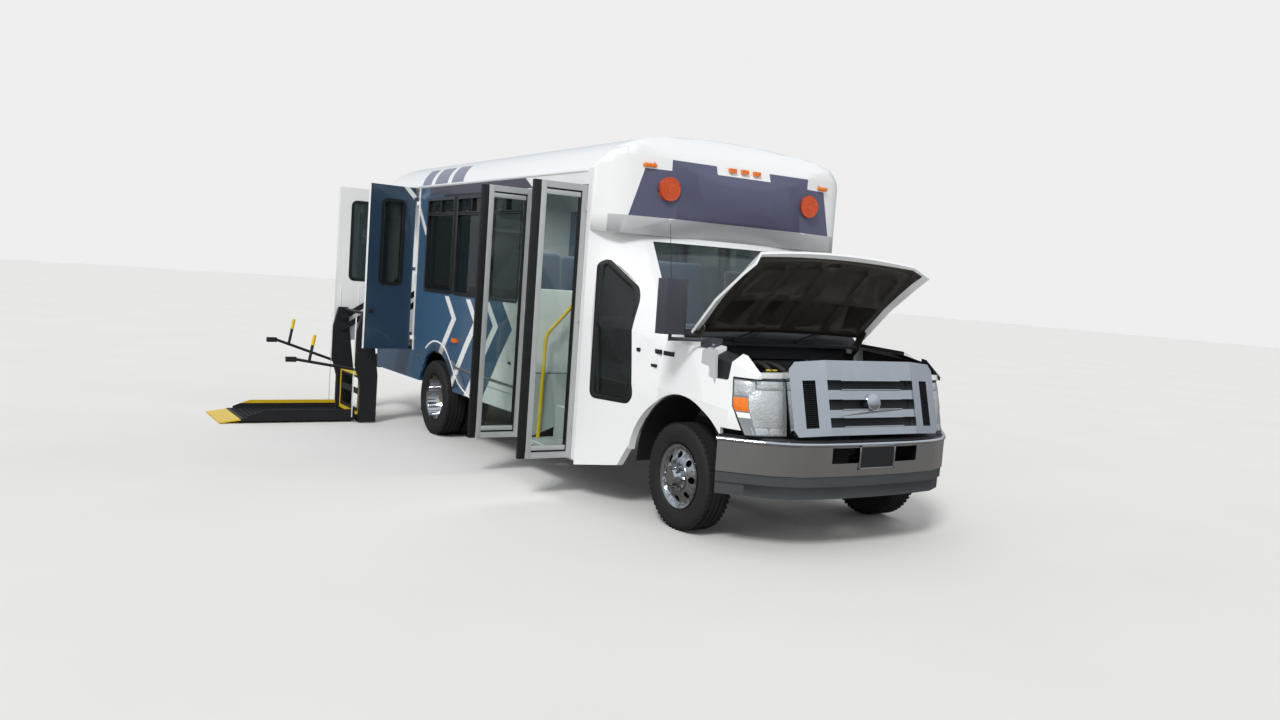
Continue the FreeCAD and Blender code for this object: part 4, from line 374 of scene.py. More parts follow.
# Side walls: sheet and moulding in white enamel, with blue fields parted by slanted white lines.
# The lines point forwards at the height of the rub rail's upper third, as on the real livery.
# Body enamels are smooth under a thin clear coat; the band and the window posts shine less. The
# band is a real slate-blue field, its darker tone painted shade.
BODY_HALF = 1219
SKIN_DEPTH = 60
WHITE, BLUE, DARK, BAND = range(4)
TIP_Z = 1195
SLOPE_UP = 1.03
SLOPE_DOWN = 0.87
TIPS = [(-3630, -3520), (-3100, -2990), (-2666, -2556)]
BLUE_END = -2268
BELT_Z = 1400
WINDOW_SILL = 1425
UPPER_FIELD_Z = 1500
UPPER_FIELD_END = -2480
BAND_Z = (2388, 2476)
BAND_RUN = (-4400, -2030)
BAND_SLANT = 1.7
POST_X = (-4000, -2500)
HINGE_LINE = (-4700, -4652)
DOOR_FOOT_Z = 790
CORNER_STRIPE = [(-4706, 2357), (-4394, 2010)]
STRIPE_W = 62
STRIPE_RUN = (-4750, -4380)
STRIPE_FOOT_Z = 1990

white_enamel = finish("white_body_enamel", "#e3e5e6", "#eceded", 1.1, bump=0.015, grain=30.0, Roughness=0.22,
                      Coat_Weight=0.4, Coat_Roughness=0.05)
blue_enamel = finish("blue_body_enamel", "#365673", "#3d5f7c", 1.4, bump=0.015, grain=30.0, Roughness=0.28,
                     Coat_Weight=0.4, Coat_Roughness=0.05)
slate_enamel = finish("slate_body_enamel", "#4d4f68", "#565872", 1.4, bump=0.015, grain=30.0, Roughness=0.3,
                      Coat_Weight=0.4, Coat_Roughness=0.06)
# The band over the windows: a real slate-blue field, painted darker than the cap's slate as shade.
band_enamel = finish("dark_band_enamel", "#3f3d4a", "#4a4755", 2.0, Roughness=0.35, Coat_Weight=0.2,
                     Coat_Roughness=0.1)
black_enamel = finish("black_post_enamel", "#1c1e20", "#26282a", 3.0, Roughness=0.35)


def stripe_side(x, z):
    """How far behind the corner stripe's upper edge this point lies, square to it."""
    (ax, az), (bx, bz) = CORNER_STRIPE
    along = Vector((bx - ax, bz - az)).normalized()
    return (x - ax) * -along.y + (z - az) * along.x


def side_field(place, normal):
    """Which enamel a point of the side wall has; slanted lines are told by where their tip lies."""
    x, z = place.x, place.z
    if abs(place.y) <= BODY_HALF - SKIN_DEPTH or z > BAND_Z[1]:
        return WHITE
    if HINGE_LINE[0] < x < HINGE_LINE[1] and z > DOOR_FOOT_Z:
        return WHITE
    if z > BAND_Z[0]:
        if x < BAND_RUN[0]:
            return BLUE
        return BAND if x < BAND_RUN[1] - (z - BAND_Z[0]) * BAND_SLANT else WHITE
    if POST_X[0] < x < POST_X[1] and z > WINDOW_SILL:
        return DARK
    if z > STRIPE_FOOT_Z and STRIPE_RUN[0] < x < STRIPE_RUN[1] and -STRIPE_W < stripe_side(x, z) < 0:
        return WHITE
    tip = x + (SLOPE_UP * (z - TIP_Z) if z > TIP_Z else SLOPE_DOWN * (TIP_Z - z))
    if tip > BLUE_END and z < UPPER_FIELD_Z or x > UPPER_FIELD_END and z >= UPPER_FIELD_Z:
        return WHITE
    return WHITE if z < BELT_Z and any(a < tip < b for a, b in TIPS) else BLUE


tip_edges = [x for pair in TIPS for x in pair] + [BLUE_END]
(ax, az), (bx, bz) = CORNER_STRIPE
stripe_normal = Vector((-(bz - az), 0, bx - ax)).normalized()
cuts = [((x, 0, TIP_Z), normal) for x in tip_edges for normal in ((1, 0, SLOPE_UP), (1, 0, -SLOPE_DOWN))]
cuts += level_cuts(TIP_Z, BELT_Z, WINDOW_SILL, *BAND_Z, DOOR_FOOT_Z, UPPER_FIELD_Z, STRIPE_FOOT_Z)
cuts += cross_cuts(*POST_X, *HINGE_LINE, BAND_RUN[0], STRIPE_RUN[1], UPPER_FIELD_END)
cuts += [((ax, 0, az), stripe_normal), (Vector((ax, 0, az)) - stripe_normal * STRIPE_W, stripe_normal)]
cuts += [((BAND_RUN[1], 0, BAND_Z[0]), (1, 0, BAND_SLANT))]
enamels = [white_enamel, blue_enamel, black_enamel, band_enamel]
for side in ("side_right", "side_left"):
    repainted(side, side + "_painted", enamels, side_field, cuts)

# Roof: one white moulded skin, bonded to the walls, with a cove along each side. Over the windows
# the cove carries three slate fields.
COVE_SLOPE = 1.6
COVE_FOOT_Z = 2460
COVE_Z = (2500, 2695)
COVE_Y = 700
COVE_FIELDS = [(-4555, -4310), (-4210, -3870), (-3770, -3470)]


def roof_field(place, normal):
    at = place.x + COVE_SLOPE * (place.z - COVE_FOOT_Z)
    coved = COVE_Z[0] < place.z < COVE_Z[1] and abs(place.y) > COVE_Y
    return 1 if coved and any(a < at < b for a, b in COVE_FIELDS) else 0


cuts = [((x, 0, COVE_FOOT_Z), (1, 0, COVE_SLOPE)) for pair in COVE_FIELDS for x in pair]
repainted("roof", "roof_painted", [white_enamel, slate_enamel], roof_field, cuts + level_cuts(*COVE_Z), 30.0)
dress(white_enamel, "rear_wall")

# Front cap: a moulded shell over the cab with one slate field across its front. The field leaves
# white notches round the clearance lamps, and the underside shows the pale, half-matt gelcoat.
CAP_FIELD_Z = (2172, 2612)
CAP_NOTCH_Z = 2545
CAP_CORNER_Z = 2530
CAP_EDGE_Y = 985
CAP_EDGE_Z = 2200
CAP_EDGE_SLANT = 0.3
CAP_NOTCH_HALF = 262
CAP_CORNER_Y = 672
CAP_FIELD_BACK = -1090
CAP_UNDER = (-1060, 1120)

# Pale grey of the cap's underside; the same grey also serves as the mirror's painted shadow on the fender.
gelcoat_and_shadow_grey = finish("gelcoat_and_shadow_grey", "#b3b6b8", "#bfc2c3", 1.5, Roughness=0.4, Coat_Weight=0.2)


def cap_field(place, normal):
    y, z = abs(place.y), place.z
    if z < CAP_FIELD_Z[0] - 4 and place.x > CAP_UNDER[0] and y < CAP_UNDER[1]:
        return 2
    edge = CAP_EDGE_Y - CAP_EDGE_SLANT * max(z - CAP_EDGE_Z, 0)
    if not CAP_FIELD_Z[0] < z < CAP_FIELD_Z[1] or y > edge or place.x < CAP_FIELD_BACK:
        return 0
    return 0 if z > CAP_NOTCH_Z and y < CAP_NOTCH_HALF or z > CAP_CORNER_Z and y > CAP_CORNER_Y else 1


cuts = level_cuts(*CAP_FIELD_Z, CAP_NOTCH_Z, CAP_CORNER_Z)
cuts += side_cuts(-CAP_NOTCH_HALF, -CAP_CORNER_Y, CAP_NOTCH_HALF, CAP_CORNER_Y)
cuts += [((0, s * CAP_EDGE_Y, CAP_EDGE_Z), (0, s, CAP_EDGE_SLANT)) for s in (-1, 1)]
repainted("front_cap", "front_cap_painted", [white_enamel, slate_enamel, gelcoat_and_shadow_grey], cap_field,
          cuts + cross_cuts(CAP_FIELD_BACK), 38.0)

# Trim of the body: rub rails of anodised aluminium with a soft sheen, the arched pinstripe of white
# film over the rear wheel, gutter lips and the fuel latch, all laid on the side walls.
RAIL_RUN = (-3530, -2140)
REAR_RAIL_RUN = (-4560, -4480)
RAIL_SLOPE = -24 / 1390
RAIL_Z = 732
ARC_RUN = [(-4302, 842), (-4200, 898), (-4089, 933), (-3975, 940), (-3870, 925), (-3780, 890), (-3701, 840),
           (-3610, 755), (-3518, 660), (-3425, 590), (-3328, 548), (-3225, 515), (-3125, 487)]
SKIRT_TUCK = 19
TUCK_Z = 960
SKIRT_Z = 490


def side_face(z):
    """How far out the side wall stands at a height; its skirt tucks in below the rub rail."""
    return BODY_HALF - SKIRT_TUCK * max(TUCK_Z - z, 0) / (TUCK_Z - SKIRT_Z)


def ribbon(mesh, points, width, thickness):
    """A flat strip laid along the right side wall."""
    rings = []
    for i, (x, z) in enumerate(points):
        along = Vector(points[min(i + 1, len(points) - 1)]) - Vector(points[max(i - 1, 0)])
        along.normalize()
        ring = []
        for side, out in ((-1, -1), (1, -1), (1, thickness), (-1, thickness)):
            pz = z + along.x * side * width / 2
            ring.append((x - along.y * side * width / 2, -side_face(pz) - out, pz))
        rings.append(ring)
    loft(mesh, rings)


vinyl_white = finish("white_vinyl_film", "#e9eaea", "#f1f1f1", 9.0, Roughness=0.35)
rail_aluminium = finish("anodised_aluminium_trim", "#a9acad", "#b8babb", 12.0, (0.3, 0.45), Metallic=0.9)

mesh = bmesh.new()
ribbon(mesh, ARC_RUN, 17, 1.2)
mirror(mesh)
settle(mesh, "wheel_arch_pinstripe", "body", vinyl_white)
mesh = bmesh.new()
for run in (REAR_RAIL_RUN, RAIL_RUN):
    ribbon(mesh, [(x, RAIL_Z + RAIL_SLOPE * (x - RAIL_RUN[0])) for x in run], 22, 7)
ribbon(mesh, [(-3500, 655), (-2130, 640)], 5, 2)
mirror(mesh)
for x0, x1 in ((-5840, -4500), (-3530, -1820)):
    block(mesh, x0, x1, 1214, 1226, 716, 738, 3)
settle(mesh, "rub_rails", "body", rail_aluminium)
boxes("roof_gutters", "body", white_enamel, (-5845, -1105, 1216, 1228, 2482, 2500, 4), twice=True)
boxes("fuel_latch", "body", moulded_black, (-2310, -2255, -1224, -1216, 893, 915, 3))

# Passenger windows: black anodised frames, grey transom rails, two sliders above each pane with a
# small latch, and privacy glass, which is smooth and lets only dim shapes through.
PANE_RIM = 26
RAIL_LEVELS = ((2207, 2214), (2186, 2192))
PANE_FOOT_Z = 1460
SLIDER_FOOT_Z = 2214
PANE_HEAD_Z = 2340
LATCH_OUT = 150
RIGHT_WINDOWS = [(-4430, -3690), (-3640, -2930), (-2860, -2190)]
LEFT_WINDOWS = [(-5560, -4880), (-4800, -4120), (-4040, -3360), (-3280, -2600), (-2520, -1900)]
WINDOWS_END = -1100

black_anodised = finish("black_anodised_aluminium", "#151617", "#202122", 12.0, (0.35, 0.5), 0.05, 200.0,
                        Metallic=0.3)
seal_grey = finish("grey_anodised_aluminium", "#55595b", "#63686a", 12.0, (0.35, 0.5), Metallic=0.7)
tinted_glass = finish("privacy_glass", Base_Color=linear("#3d4645"), Roughness=0.02, IOR=1.5,
                      Transmission_Weight=0.85)
dress(tinted_glass, "window_glass")
mesh = taken("window_frames")
bmesh.ops.delete(mesh, geom=[v for v in mesh.verts if v.co.x > WINDOWS_END], context="VERTS")
eased(mesh, 3, 60)
settle(mesh, "passenger_window_frames", "body", black_anodised, replaced=("window_frames",))

mesh = bmesh.new()
for windows, side in ((RIGHT_WINDOWS, -1), (LEFT_WINDOWS, 1)):
    for x0, x1 in windows:
        centre = (x0 + x1) / 2
        for z0, z1 in RAIL_LEVELS:
            block(mesh, x0 + PANE_RIM, x1 - PANE_RIM, side * 1222, side * 1226, z0, z1, 1)
        block(mesh, centre - 8, centre - 3, side * 1222, side * 1226, SLIDER_FOOT_Z, PANE_HEAD_Z, 1)
        for way in (-1, 1):
            edge = centre + way * ((x1 - x0) / 2 - PANE_RIM - 2)
            latch = centre + way * LATCH_OUT
            block(mesh, edge - 3, edge + 3, side * 1222, side * 1226, PANE_FOOT_Z, PANE_HEAD_Z, 1)
            block(mesh, latch - 22, latch + 22, side * 1196, side * 1206, 2216, 2230, 2)
settle(mesh, "window_slider_rails", "body", seal_grey)

# Cab: pressed steel shell and driver's door in the same white enamel, with a black plastic scuttle
# under the screen. The cab's panes are clear glass with a faint green, bonded into their openings.
CAB_ROWS = [(260, 950, 0), (950, 1005, 0), (1330, 965, 0), (2040, 800, 670)]
CAB_CORNER_X = -280
CAB_BACK_X = -1040
SCREEN_X = -200
SCREEN_CURVE = 80
SCUTTLE_HALF = 828
SCUTTLE_Z = 1384
SCUTTLE_BACK = -420


def cab_row(z):
    """Half width of the cab's front corner and how far the screen has leaned back at a height."""
    for (z0, h0, l0), (z1, h1, l1) in zip(CAB_ROWS, CAB_ROWS[1:]):
        if z <= z1:
            t = (z - z0) / (z1 - z0)
            return h0 + (h1 - h0) * t, l0 + (l1 - l0) * t
    return CAB_ROWS[-1][1:]


def cab_side(x, z):
    """The right cab wall's y; it flares from the front corner back to the bus body."""
    half, lean = cab_row(z)
    corner = CAB_CORNER_X - lean
    return -(half + (BODY_HALF - half) * (corner - x) / (corner - CAB_BACK_X))


def screen_face(y, z):
    """The windshield's outer x."""
    half, lean = cab_row(z)
    return SCREEN_X - lean - SCREEN_CURVE * (y / half) ** 2


def cab_field(place, normal):
    scuttle = abs(place.y) < SCUTTLE_HALF and place.z < SCUTTLE_Z and place.x > SCUTTLE_BACK
    return 1 if scuttle and normal.x > 0.2 else 0


cuts = side_cuts(SCUTTLE_HALF, -SCUTTLE_HALF) + level_cuts(SCUTTLE_Z)
repainted("cab_shell", "cab_shell_painted", [white_enamel, moulded_black], cab_field, cuts, 32.0)
repainted("driver_door", "driver_door_painted", white_enamel, crease=32.0)
clear_glass = finish("clear_glass", Base_Color=linear("#c9d8d3"), Roughness=0.01, IOR=1.5,
                     Transmission_Weight=1.0)
dress(clear_glass, "windshield", "driver_window", "entry_glass_front", "entry_glass_rear")
boxes("driver_door_handle", "driver_door", moulded_black, (-1330, -1210, 970, 997, 1180, 1212, 8))

# Quarter window ahead of the entry door: a pane with rounded corners in dull black rubber, set in
# the flared wall, with white enamel filling the corners of the pressed opening.
QUARTER = [(-925, 795), (-555, 795), (-510, 860), (-615, 1545), (-672, 1640), (-940, 1843), (-985, 1800)]
QUARTER_ROUND = 62
QUARTER_BORDER = 34
QUARTER_DEPTH = -20
ARC_STEPS = 5


def rounded(outline, radius):
    """The outline with its corners turned into arcs, each of ARC_STEPS + 1 points."""
    points = []
    for i, corner in enumerate(outline):
        here = Vector(corner)
        back = Vector(outline[i - 1]) - here
        front = Vector(outline[(i + 1) % len(outline)]) - here
        reach = min(radius, back.length * 0.45, front.length * 0.45)
        a = here + back.normalized() * reach
        b = here + front.normalized() * reach
        for k in range(ARC_STEPS + 1):
            t = k / ARC_STEPS
            points.append(a * (1 - t) ** 2 + here * 2 * t * (1 - t) + b * t ** 2)
    return points


def shrunk(points, amount):
    """Each point shifted towards the inside, square to the outline."""
    inner = []
    for i, point in enumerate(points):
        along = Vector(points[(i + 1) % len(points)]) - Vector(points[i - 1])
        along.normalize()
        inner.append(Vector((point[0] - along.y * amount, point[1] + along.x * amount)))
    return inner


def on_wall(points, out):
    return [(x, cab_side(x, z) - out, z) for x, z in points]


soft_edge = rounded(QUARTER, QUARTER_ROUND)
sharp_edge = [Vector(corner) for corner in QUARTER for k in range(ARC_STEPS + 1)]
pane_edge = shrunk(soft_edge, QUARTER_BORDER)
window_rubber = finish("window_rubber", "#141516", "#1d1e1f", 10.0, (0.5, 0.65), Specular_IOR_Level=0.35)
mesh = bmesh.new()
loft(mesh, [on_wall(sharp_edge, 0), on_wall(soft_edge, 0.5), on_wall(soft_edge, QUARTER_DEPTH),
            on_wall(sharp_edge, QUARTER_DEPTH)], capped=False)
welded(mesh, 0.1)
settle(mesh, "quarter_window_corners", "body", white_enamel)
mesh = bmesh.new()
hoop(mesh, [on_wall(soft_edge, QUARTER_DEPTH), on_wall(soft_edge, 1.5), on_wall(shrunk(soft_edge, 3), 3.5),
            on_wall(shrunk(soft_edge, QUARTER_BORDER - 4), 3.5), on_wall(pane_edge, 0),
            on_wall(pane_edge, QUARTER_DEPTH)])
settle(mesh, "quarter_window_seal", "body", window_rubber)

# Windshield wipers of black coated steel, resting at the foot of the glass on their two pivots, and
# the tapering aerial on its foot, right of the screen.
WIPER_Z = 1300
BLADE_Z = 1388

mesh = bmesh.new()
for pivot_y, tip_y, tip_z in ((-430, -40, 1420), (150, 560, 1415)):
    pivot_x = screen_face(pivot_y, 1330) + 30
    tip = (screen_face(tip_y, tip_z) + 26, tip_y, tip_z)
    tube(mesh, [(pivot_x, pivot_y, WIPER_Z), (pivot_x + 6, pivot_y + 40, WIPER_Z + 40), tip], 7, 8)
    run = [(tip_y - 300 + 60 * k, BLADE_Z + (tip_z - BLADE_Z) * (k / 5)) for k in range(9)]
    tube(mesh, [(screen_face(y, z) + 12, y, z) for y, z in run], 6, 6)
    rod(mesh, (pivot_x, pivot_y, WIPER_Z - 15), (pivot_x, pivot_y, WIPER_Z + 15), 16, 12)
settle(mesh, "windshield_wipers", "body", moulded_black)
mesh = bmesh.new()
rod(mesh, (-330, -880, 1290), (-420, -905, 2110), 3.2, 8, 1.6)
rod(mesh, (-328, -878, 1262), (-331, -881, 1300), 11, 12, 6)
settle(mesh, "radio_aerial", "body", moulded_black)

# Mirrors: dark moulded housings with a soft rim and a low gloss, one on the right fender and one on
# the driver's door, and silvered glass facing rearwards, the only sharp reflection there.
mirror_glass = finish("silvered_glass", Base_Color=linear("#dfe3e4"), Metallic=1.0, Roughness=0.03)
mirror_shell = finish("mirror_shell_paint", "#33363d", "#3d4047", 7.0, (0.28, 0.4), Coat_Weight=0.3)
for node, label, glass in (("mirrors", "right_mirror", (6, 12, -1252, -1083, 1375, 1702, 2)),
                           ("door_mirror", "left_mirror", (-410, -404, 1084, 1232, 1658, 1942, 2))):
    mesh = taken(node)
    eased(mesh, 9, 60, 3)
    settle(mesh, label + "_housing", body_of[node], mirror_shell, replaced=(node,))
    boxes(label + "_glass", body_of[node], mirror_glass, glass)

# Hood: a white pressed skin folded round a dull brown-black inner panel with dished fields, held
# open on its hinges. Which face belongs to the skin is told from where it lies when shut.
HOOD_PIVOT = Vector((-200, 0, 1250))
HOOD_SWING = Matrix.Rotation(math.radians(47), 3, "Y")
HOOD_SKIN_BACK = -60
HOOD_RIM_X = 680
HOOD_RIM_Y = 775


def hood_field(place, normal):
    shut = HOOD_SWING @ (place - HOOD_PIVOT) + HOOD_PIVOT
    rim = shut.x > HOOD_SKIN_BACK and (abs(shut.y) > HOOD_RIM_Y or shut.x > HOOD_RIM_X)
    return 0 if rim or (HOOD_SWING @ normal).z > 0.25 else 1


inner_panel = finish("hood_inner_panel", "#36342f", "#45423c", 4.0, (0.5, 0.7), 0.1, 60.0, Metallic=0.2)
opened = HOOD_SWING.inverted()
cuts = side_cuts(HOOD_RIM_Y, -HOOD_RIM_Y)
cuts += [(opened @ Vector((HOOD_RIM_X - HOOD_PIVOT.x, 0, 0)) + HOOD_PIVOT, opened @ Vector((1, 0, 0)))]
repainted("hood", "hood_painted", [white_enamel, inner_panel], hood_field, cuts, 32.0)


# Fenders: pressed steel with a peak over each lamp, white outside and dark where they face inwards.
# Their badges are bare black bars, and a grey sheet on the right fender's side is the mirror's painted
# shadow.
def fender_field(place, normal):
    return 1 if normal.y * place.y < 0 and abs(normal.y) > 0.4 else 0


repainted("fenders", "fenders_painted", [white_enamel, moulded_black], fender_field, crease=30.0)
badges = [(-282, -150, -979, -966, 1182, 1214, 3)]
for x0, x1, z0, z1 in ((-527, -482, 1184, 1212), (-400, -280, 1186, 1218), (-405, -310, 1090, 1112)):
    y = cab_side((x0 + x1) / 2, (z0 + z1) / 2)
    badges.append((x0, x1, y - 5, y + 8, z0, z1, 3))
boxes("fender_badges", "body", moulded_black, *badges)
# Painted shadow: a thin grey sheet in the outline of the right mirror's shadow on the fender.
mesh = bmesh.new()
slab(mesh, [(197, 1066), (262, 1052), (300, 1075), (330, 1050), (338, 1060), (326, 1180), (318, 1275),
            (250, 1290), (171, 1262), (165, 1180)], -969, -950)
settle(mesh, "painted_mirror_shadow", "body", gelcoat_and_shadow_grey)

# Grille: chrome-plated moulding with two broad bars and a plain round disc in its middle, before a
# black backing; narrow slats fill the openings at its sides. Plating mirrors the sky nearly sharply,
# with a faint waviness, and the plated wheel steel is a little duller.
GRILLE_FOOT = (860, 800)
GRILLE_LEAN = math.radians(14.95)
BAR_EDGES = (40, 100, 154, 221, 285, 346)
BAR_HALF = 272
DISC_Z = 1003
BACKING_X = (800, 812)
BACKING_Z = (815, 1165)
WING_SWEEP = math.radians(12)

chrome_plate = finish("chrome_plate", "#c4c7ca", "#d3d6d8", 7.0, (0.04, 0.1), 0.03, 9.0, Metallic=1.0)
chrome_wheel = finish("chromed_wheel_steel", "#b9bcbf", "#cdd0d2", 16.0, (0.06, 0.16), 0.05, 40.0,
                      Metallic=1.0)


def leaned(mesh):
    """Leans what was drawn upright at the grille's foot back as the grille stands."""
    bmesh.ops.rotate(mesh, cent=(GRILLE_FOOT[0], 0, GRILLE_FOOT[1]), verts=mesh.verts[:],
                     matrix=Matrix.Rotation(-GRILLE_LEAN, 3, "Y"))


def pattern(name, material, ring=False, nut=False):
    """Equal bars in a row, or blocks or nuts round a ring: how many, the step between them or the
    ring's radius, and the size of one along its axes."""
    tree = bpy.data.node_groups.new(name, "GeometryNodeTree")
    tree.interface.new_socket("Geometry", in_out="OUTPUT", socket_type="NodeSocketGeometry")
    spread = ("Radius", "NodeSocketFloat") if ring else ("Step", "NodeSocketVector")
    for label, kind in (("Count", "NodeSocketInt"), spread, ("Size", "NodeSocketVector")):
        tree.interface.new_socket(label, in_out="INPUT", socket_type=kind)
    sizes = add(tree, "NodeGroupInput").outputs
    if nut:
        parts = add(tree, "ShaderNodeSeparateXYZ", {0: sizes["Size"]}).outputs
        unit = add(tree, "GeometryNodeMeshCylinder", {"Vertices": 6, "Radius": parts["X"],
                                                      "Depth": parts["Z"]})
    else:
        unit = add(tree, "GeometryNodeMeshCube", {"Size": sizes["Size"]})
    feed = {"Instance": unit.outputs[0]}
    if ring:
        line = add(tree, "GeometryNodeMeshCircle", {"Vertices": sizes["Count"], "Radius": sizes["Radius"]})
        place = add(tree, "GeometryNodeInputPosition").outputs[0]
        feed["Rotation"] = add(tree, "FunctionNodeAlignRotationToVector", {"Vector": place}, axis="X",
                               pivot_axis="Z").outputs[0]
    else:
        line = add(tree, "GeometryNodeMeshLine", {"Count": sizes["Count"], "Offset": sizes["Step"]})
    row = add(tree, "GeometryNodeInstanceOnPoints", {"Points": line.outputs[0], **feed})
    real = add(tree, "GeometryNodeRealizeInstances", {0: row.outputs[0]})
    painted = add(tree, "GeometryNodeSetMaterial", {"Geometry": real.outputs[0], "Material": material})
    add(tree, "NodeGroupOutput", {0: painted.outputs[0]})
    return tree


def grown(tree, places, **inputs):
    """What a tree makes with these inputs, as a mesh in millimetres, once for each place's matrix."""
    holder = placed(tree.name, bpy.data.meshes.new(tree.name))
    modifier = holder.modifiers.new("pattern", "NODES")
    modifier.node_group = tree
    named = {item.name: item.identifier for item in tree.interface.items_tree if item.in_out == "INPUT"}
    for label, value in inputs.items():
        modifier[named[label]] = value
    made = bpy.data.meshes.new_from_object(holder.evaluated_get(bpy.context.evaluated_depsgraph_get()))
    bpy.data.objects.remove(holder)
    mesh = bmesh.new()
    for place in places:
        copy = made.copy()
        copy.transform(place)
        mesh.from_mesh(copy)
    return mesh


repainted("grille", "grille_chrome", chrome_plate, crease=12.0)
mesh = bmesh.new()
for z in BAR_EDGES:
    rod(mesh, (858, -BAR_HALF, GRILLE_FOOT[1] + z), (858, BAR_HALF, GRILLE_FOOT[1] + z), 5, 12)
leaned(mesh)
settle(mesh, "grille_bar_edges", "body", chrome_plate)
mesh = bmesh.new()
rod(mesh, (845, 0, DISC_Z), (872, 0, DISC_Z), 60, 40)
rod(mesh, (872, 0, DISC_Z), (877, 0, DISC_Z), 56, 40, 50)
leaned(mesh)
settle(mesh, "emblem_blank", "body", chrome_plate)
mesh = bmesh.new()
block(mesh, *BACKING_X, -470, 470, *BACKING_Z)
for side in (-1, 1):
    block(mesh, *(x - 60 for x in BACKING_X), side * 470, side * 640, *BACKING_Z)
leaned(mesh)
settle(mesh, "grille_backing", "body", moulded_black)
wings = [Matrix.Translation((GRILLE_FOOT[0], side * 400, 0)) @ Matrix.Rotation(side * WING_SWEEP, 4, "Z") @
         Matrix.Translation((-22, side * 127.5, 846)) for side in (-1, 1)]
mesh = grown(pattern("grille_slats", moulded_black), wings, Count=22, Step=(0.0, 0.0, 14.0),
             Size=(14.0, 92.0, 4.0))
leaned(mesh)
settle(mesh, "grille_side_slats", "body", moulded_black)

# Headlamps: grey bezels with bright faceted reflectors, the amber turn segment in the outer upper
# corner, a pale bar under it and a rubber rim. Lamp plastics are glossy with an uneven colour, as
# prisms behind them break the light; the cap's and the side lamps are of the same amber and orange.
LAMP_ROWS = [
    (757, [(708, 640), (695, 770), (665, 860), (618, 914), (600, 888), (620, 800), (628, 640)]),
    (935, [(685, 640), (660, 800), (600, 890), (512, 950), (496, 922), (565, 820), (592, 640)]),
    (1118, [(650, 640), (628, 780), (560, 875), (478, 932), (462, 904), (540, 805), (575, 640)]),
]
LAMP_STEPS = 6
TURN_LAMP = (-771, 690, 2390)
TURN_RIDGES = (30, 60, 86)
CAP_LAMPS_X = -1000
CAP_ROUND_Z = 2485


def lamp_point(u, w, depth):
    """A point of the lamp's outer face: u from 0 inboard to 3 outboard, w from 0 low to 2 high."""
    level, k = min(int(w), 1), min(int(u), 2)
    (low_z, low), (high_z, high) = LAMP_ROWS[level:level + 2]
    a, b = (Vector(ring[k]).lerp(Vector(ring[k + 1]), u - k) for ring in (low, high))
    flat = a.lerp(b, w - level)
    along = (Vector(low[k + 1]) - Vector(low[k])).normalized()
    return flat.x + along.y * depth, flat.y - along.x * depth, low_z + (high_z - low_z) * (w - level)


def lamp_patch(mesh, u0, u1, w0, w1, depth, thick, bulge):
    """A shell on the lamp's face between two stations and two heights."""
    last = LAMP_STEPS
    front, back = {}, {}
    for i in range(last + 1):
        for j in range(last + 1):
            s, t = i / last, j / last
            rise = bulge * (1 - (2 * s - 1) ** 4) * (1 - (2 * t - 1) ** 4)
            u, w = u0 + (u1 - u0) * s, w0 + (w1 - w0) * t
            front[i, j] = mesh.verts.new(lamp_point(u, w, depth + rise))
            back[i, j] = mesh.verts.new(lamp_point(u, w, depth - thick))
    for i in range(last):
        for j in range(last):
            quad = [(i, j), (i + 1, j), (i + 1, j + 1), (i, j + 1)]
            mesh.faces.new([front[at] for at in quad])
            mesh.faces.new([back[at] for at in reversed(quad)])
    edge = [(i, 0) for i in range(last)] + [(last, j) for j in range(last)]
    edge += [(i, last) for i in range(last, 0, -1)] + [(0, j) for j in range(last, 0, -1)]
    for a, b in zip(edge, edge[1:] + edge[:1]):
        mesh.faces.new((front[a], back[a], back[b], front[b]))


amber_lens = finish("amber_lamp_lens", "#d4560a", "#f08a1c", 38.0, bump=0.3, grain=60.0, Roughness=0.12,
                    Coat_Weight=0.6)
red_lens = finish("red_lamp_lens", "#8d1013", "#b81d20", 38.0, bump=0.3, grain=60.0, Roughness=0.12,
                  Coat_Weight=0.6)
turn_lens = finish("orange_turn_lens", "#b23309", "#dd5f1c", 30.0, bump=0.4, grain=50.0, depth=0.004,
                   Roughness=0.12, Coat_Weight=0.6)
reflector = finish("aluminised_reflector", "#c6cac9", "#e4e7e6", 24.0, (0.12, 0.35), 0.5, 70.0, 0.004,
                   Metallic=0.75)
lamp_grey = finish("grey_lamp_bezel", "#74797b", "#80868a", 8.0, (0.3, 0.42), Specular_IOR_Level=0.5)
dress(red_lens, "tail_lamps")
dress(lamp_grey, "headlamps")
repainted("marker_lamps", "cap_and_side_lamps", [amber_lens, turn_lens],
          lambda place, normal: 1 if place.z < CAP_ROUND_Z and place.x > CAP_LAMPS_X else 0)
mesh = bmesh.new()
x, y, z = TURN_LAMP
for side in (-1, 1):
    for radius in TURN_RIDGES:
        ring = [(x, side * y + a, z + b) for a, b in circle(36, radius)]
        tube(mesh, ring + ring[:1], 3, 6)
settle(mesh, "turn_lamp_ridges", "body", turn_lens)
boxes("corner_clearance_lamps", "body", amber_lens, (-880, -806, 800, 905, 2538, 2568, 8), twice=True)
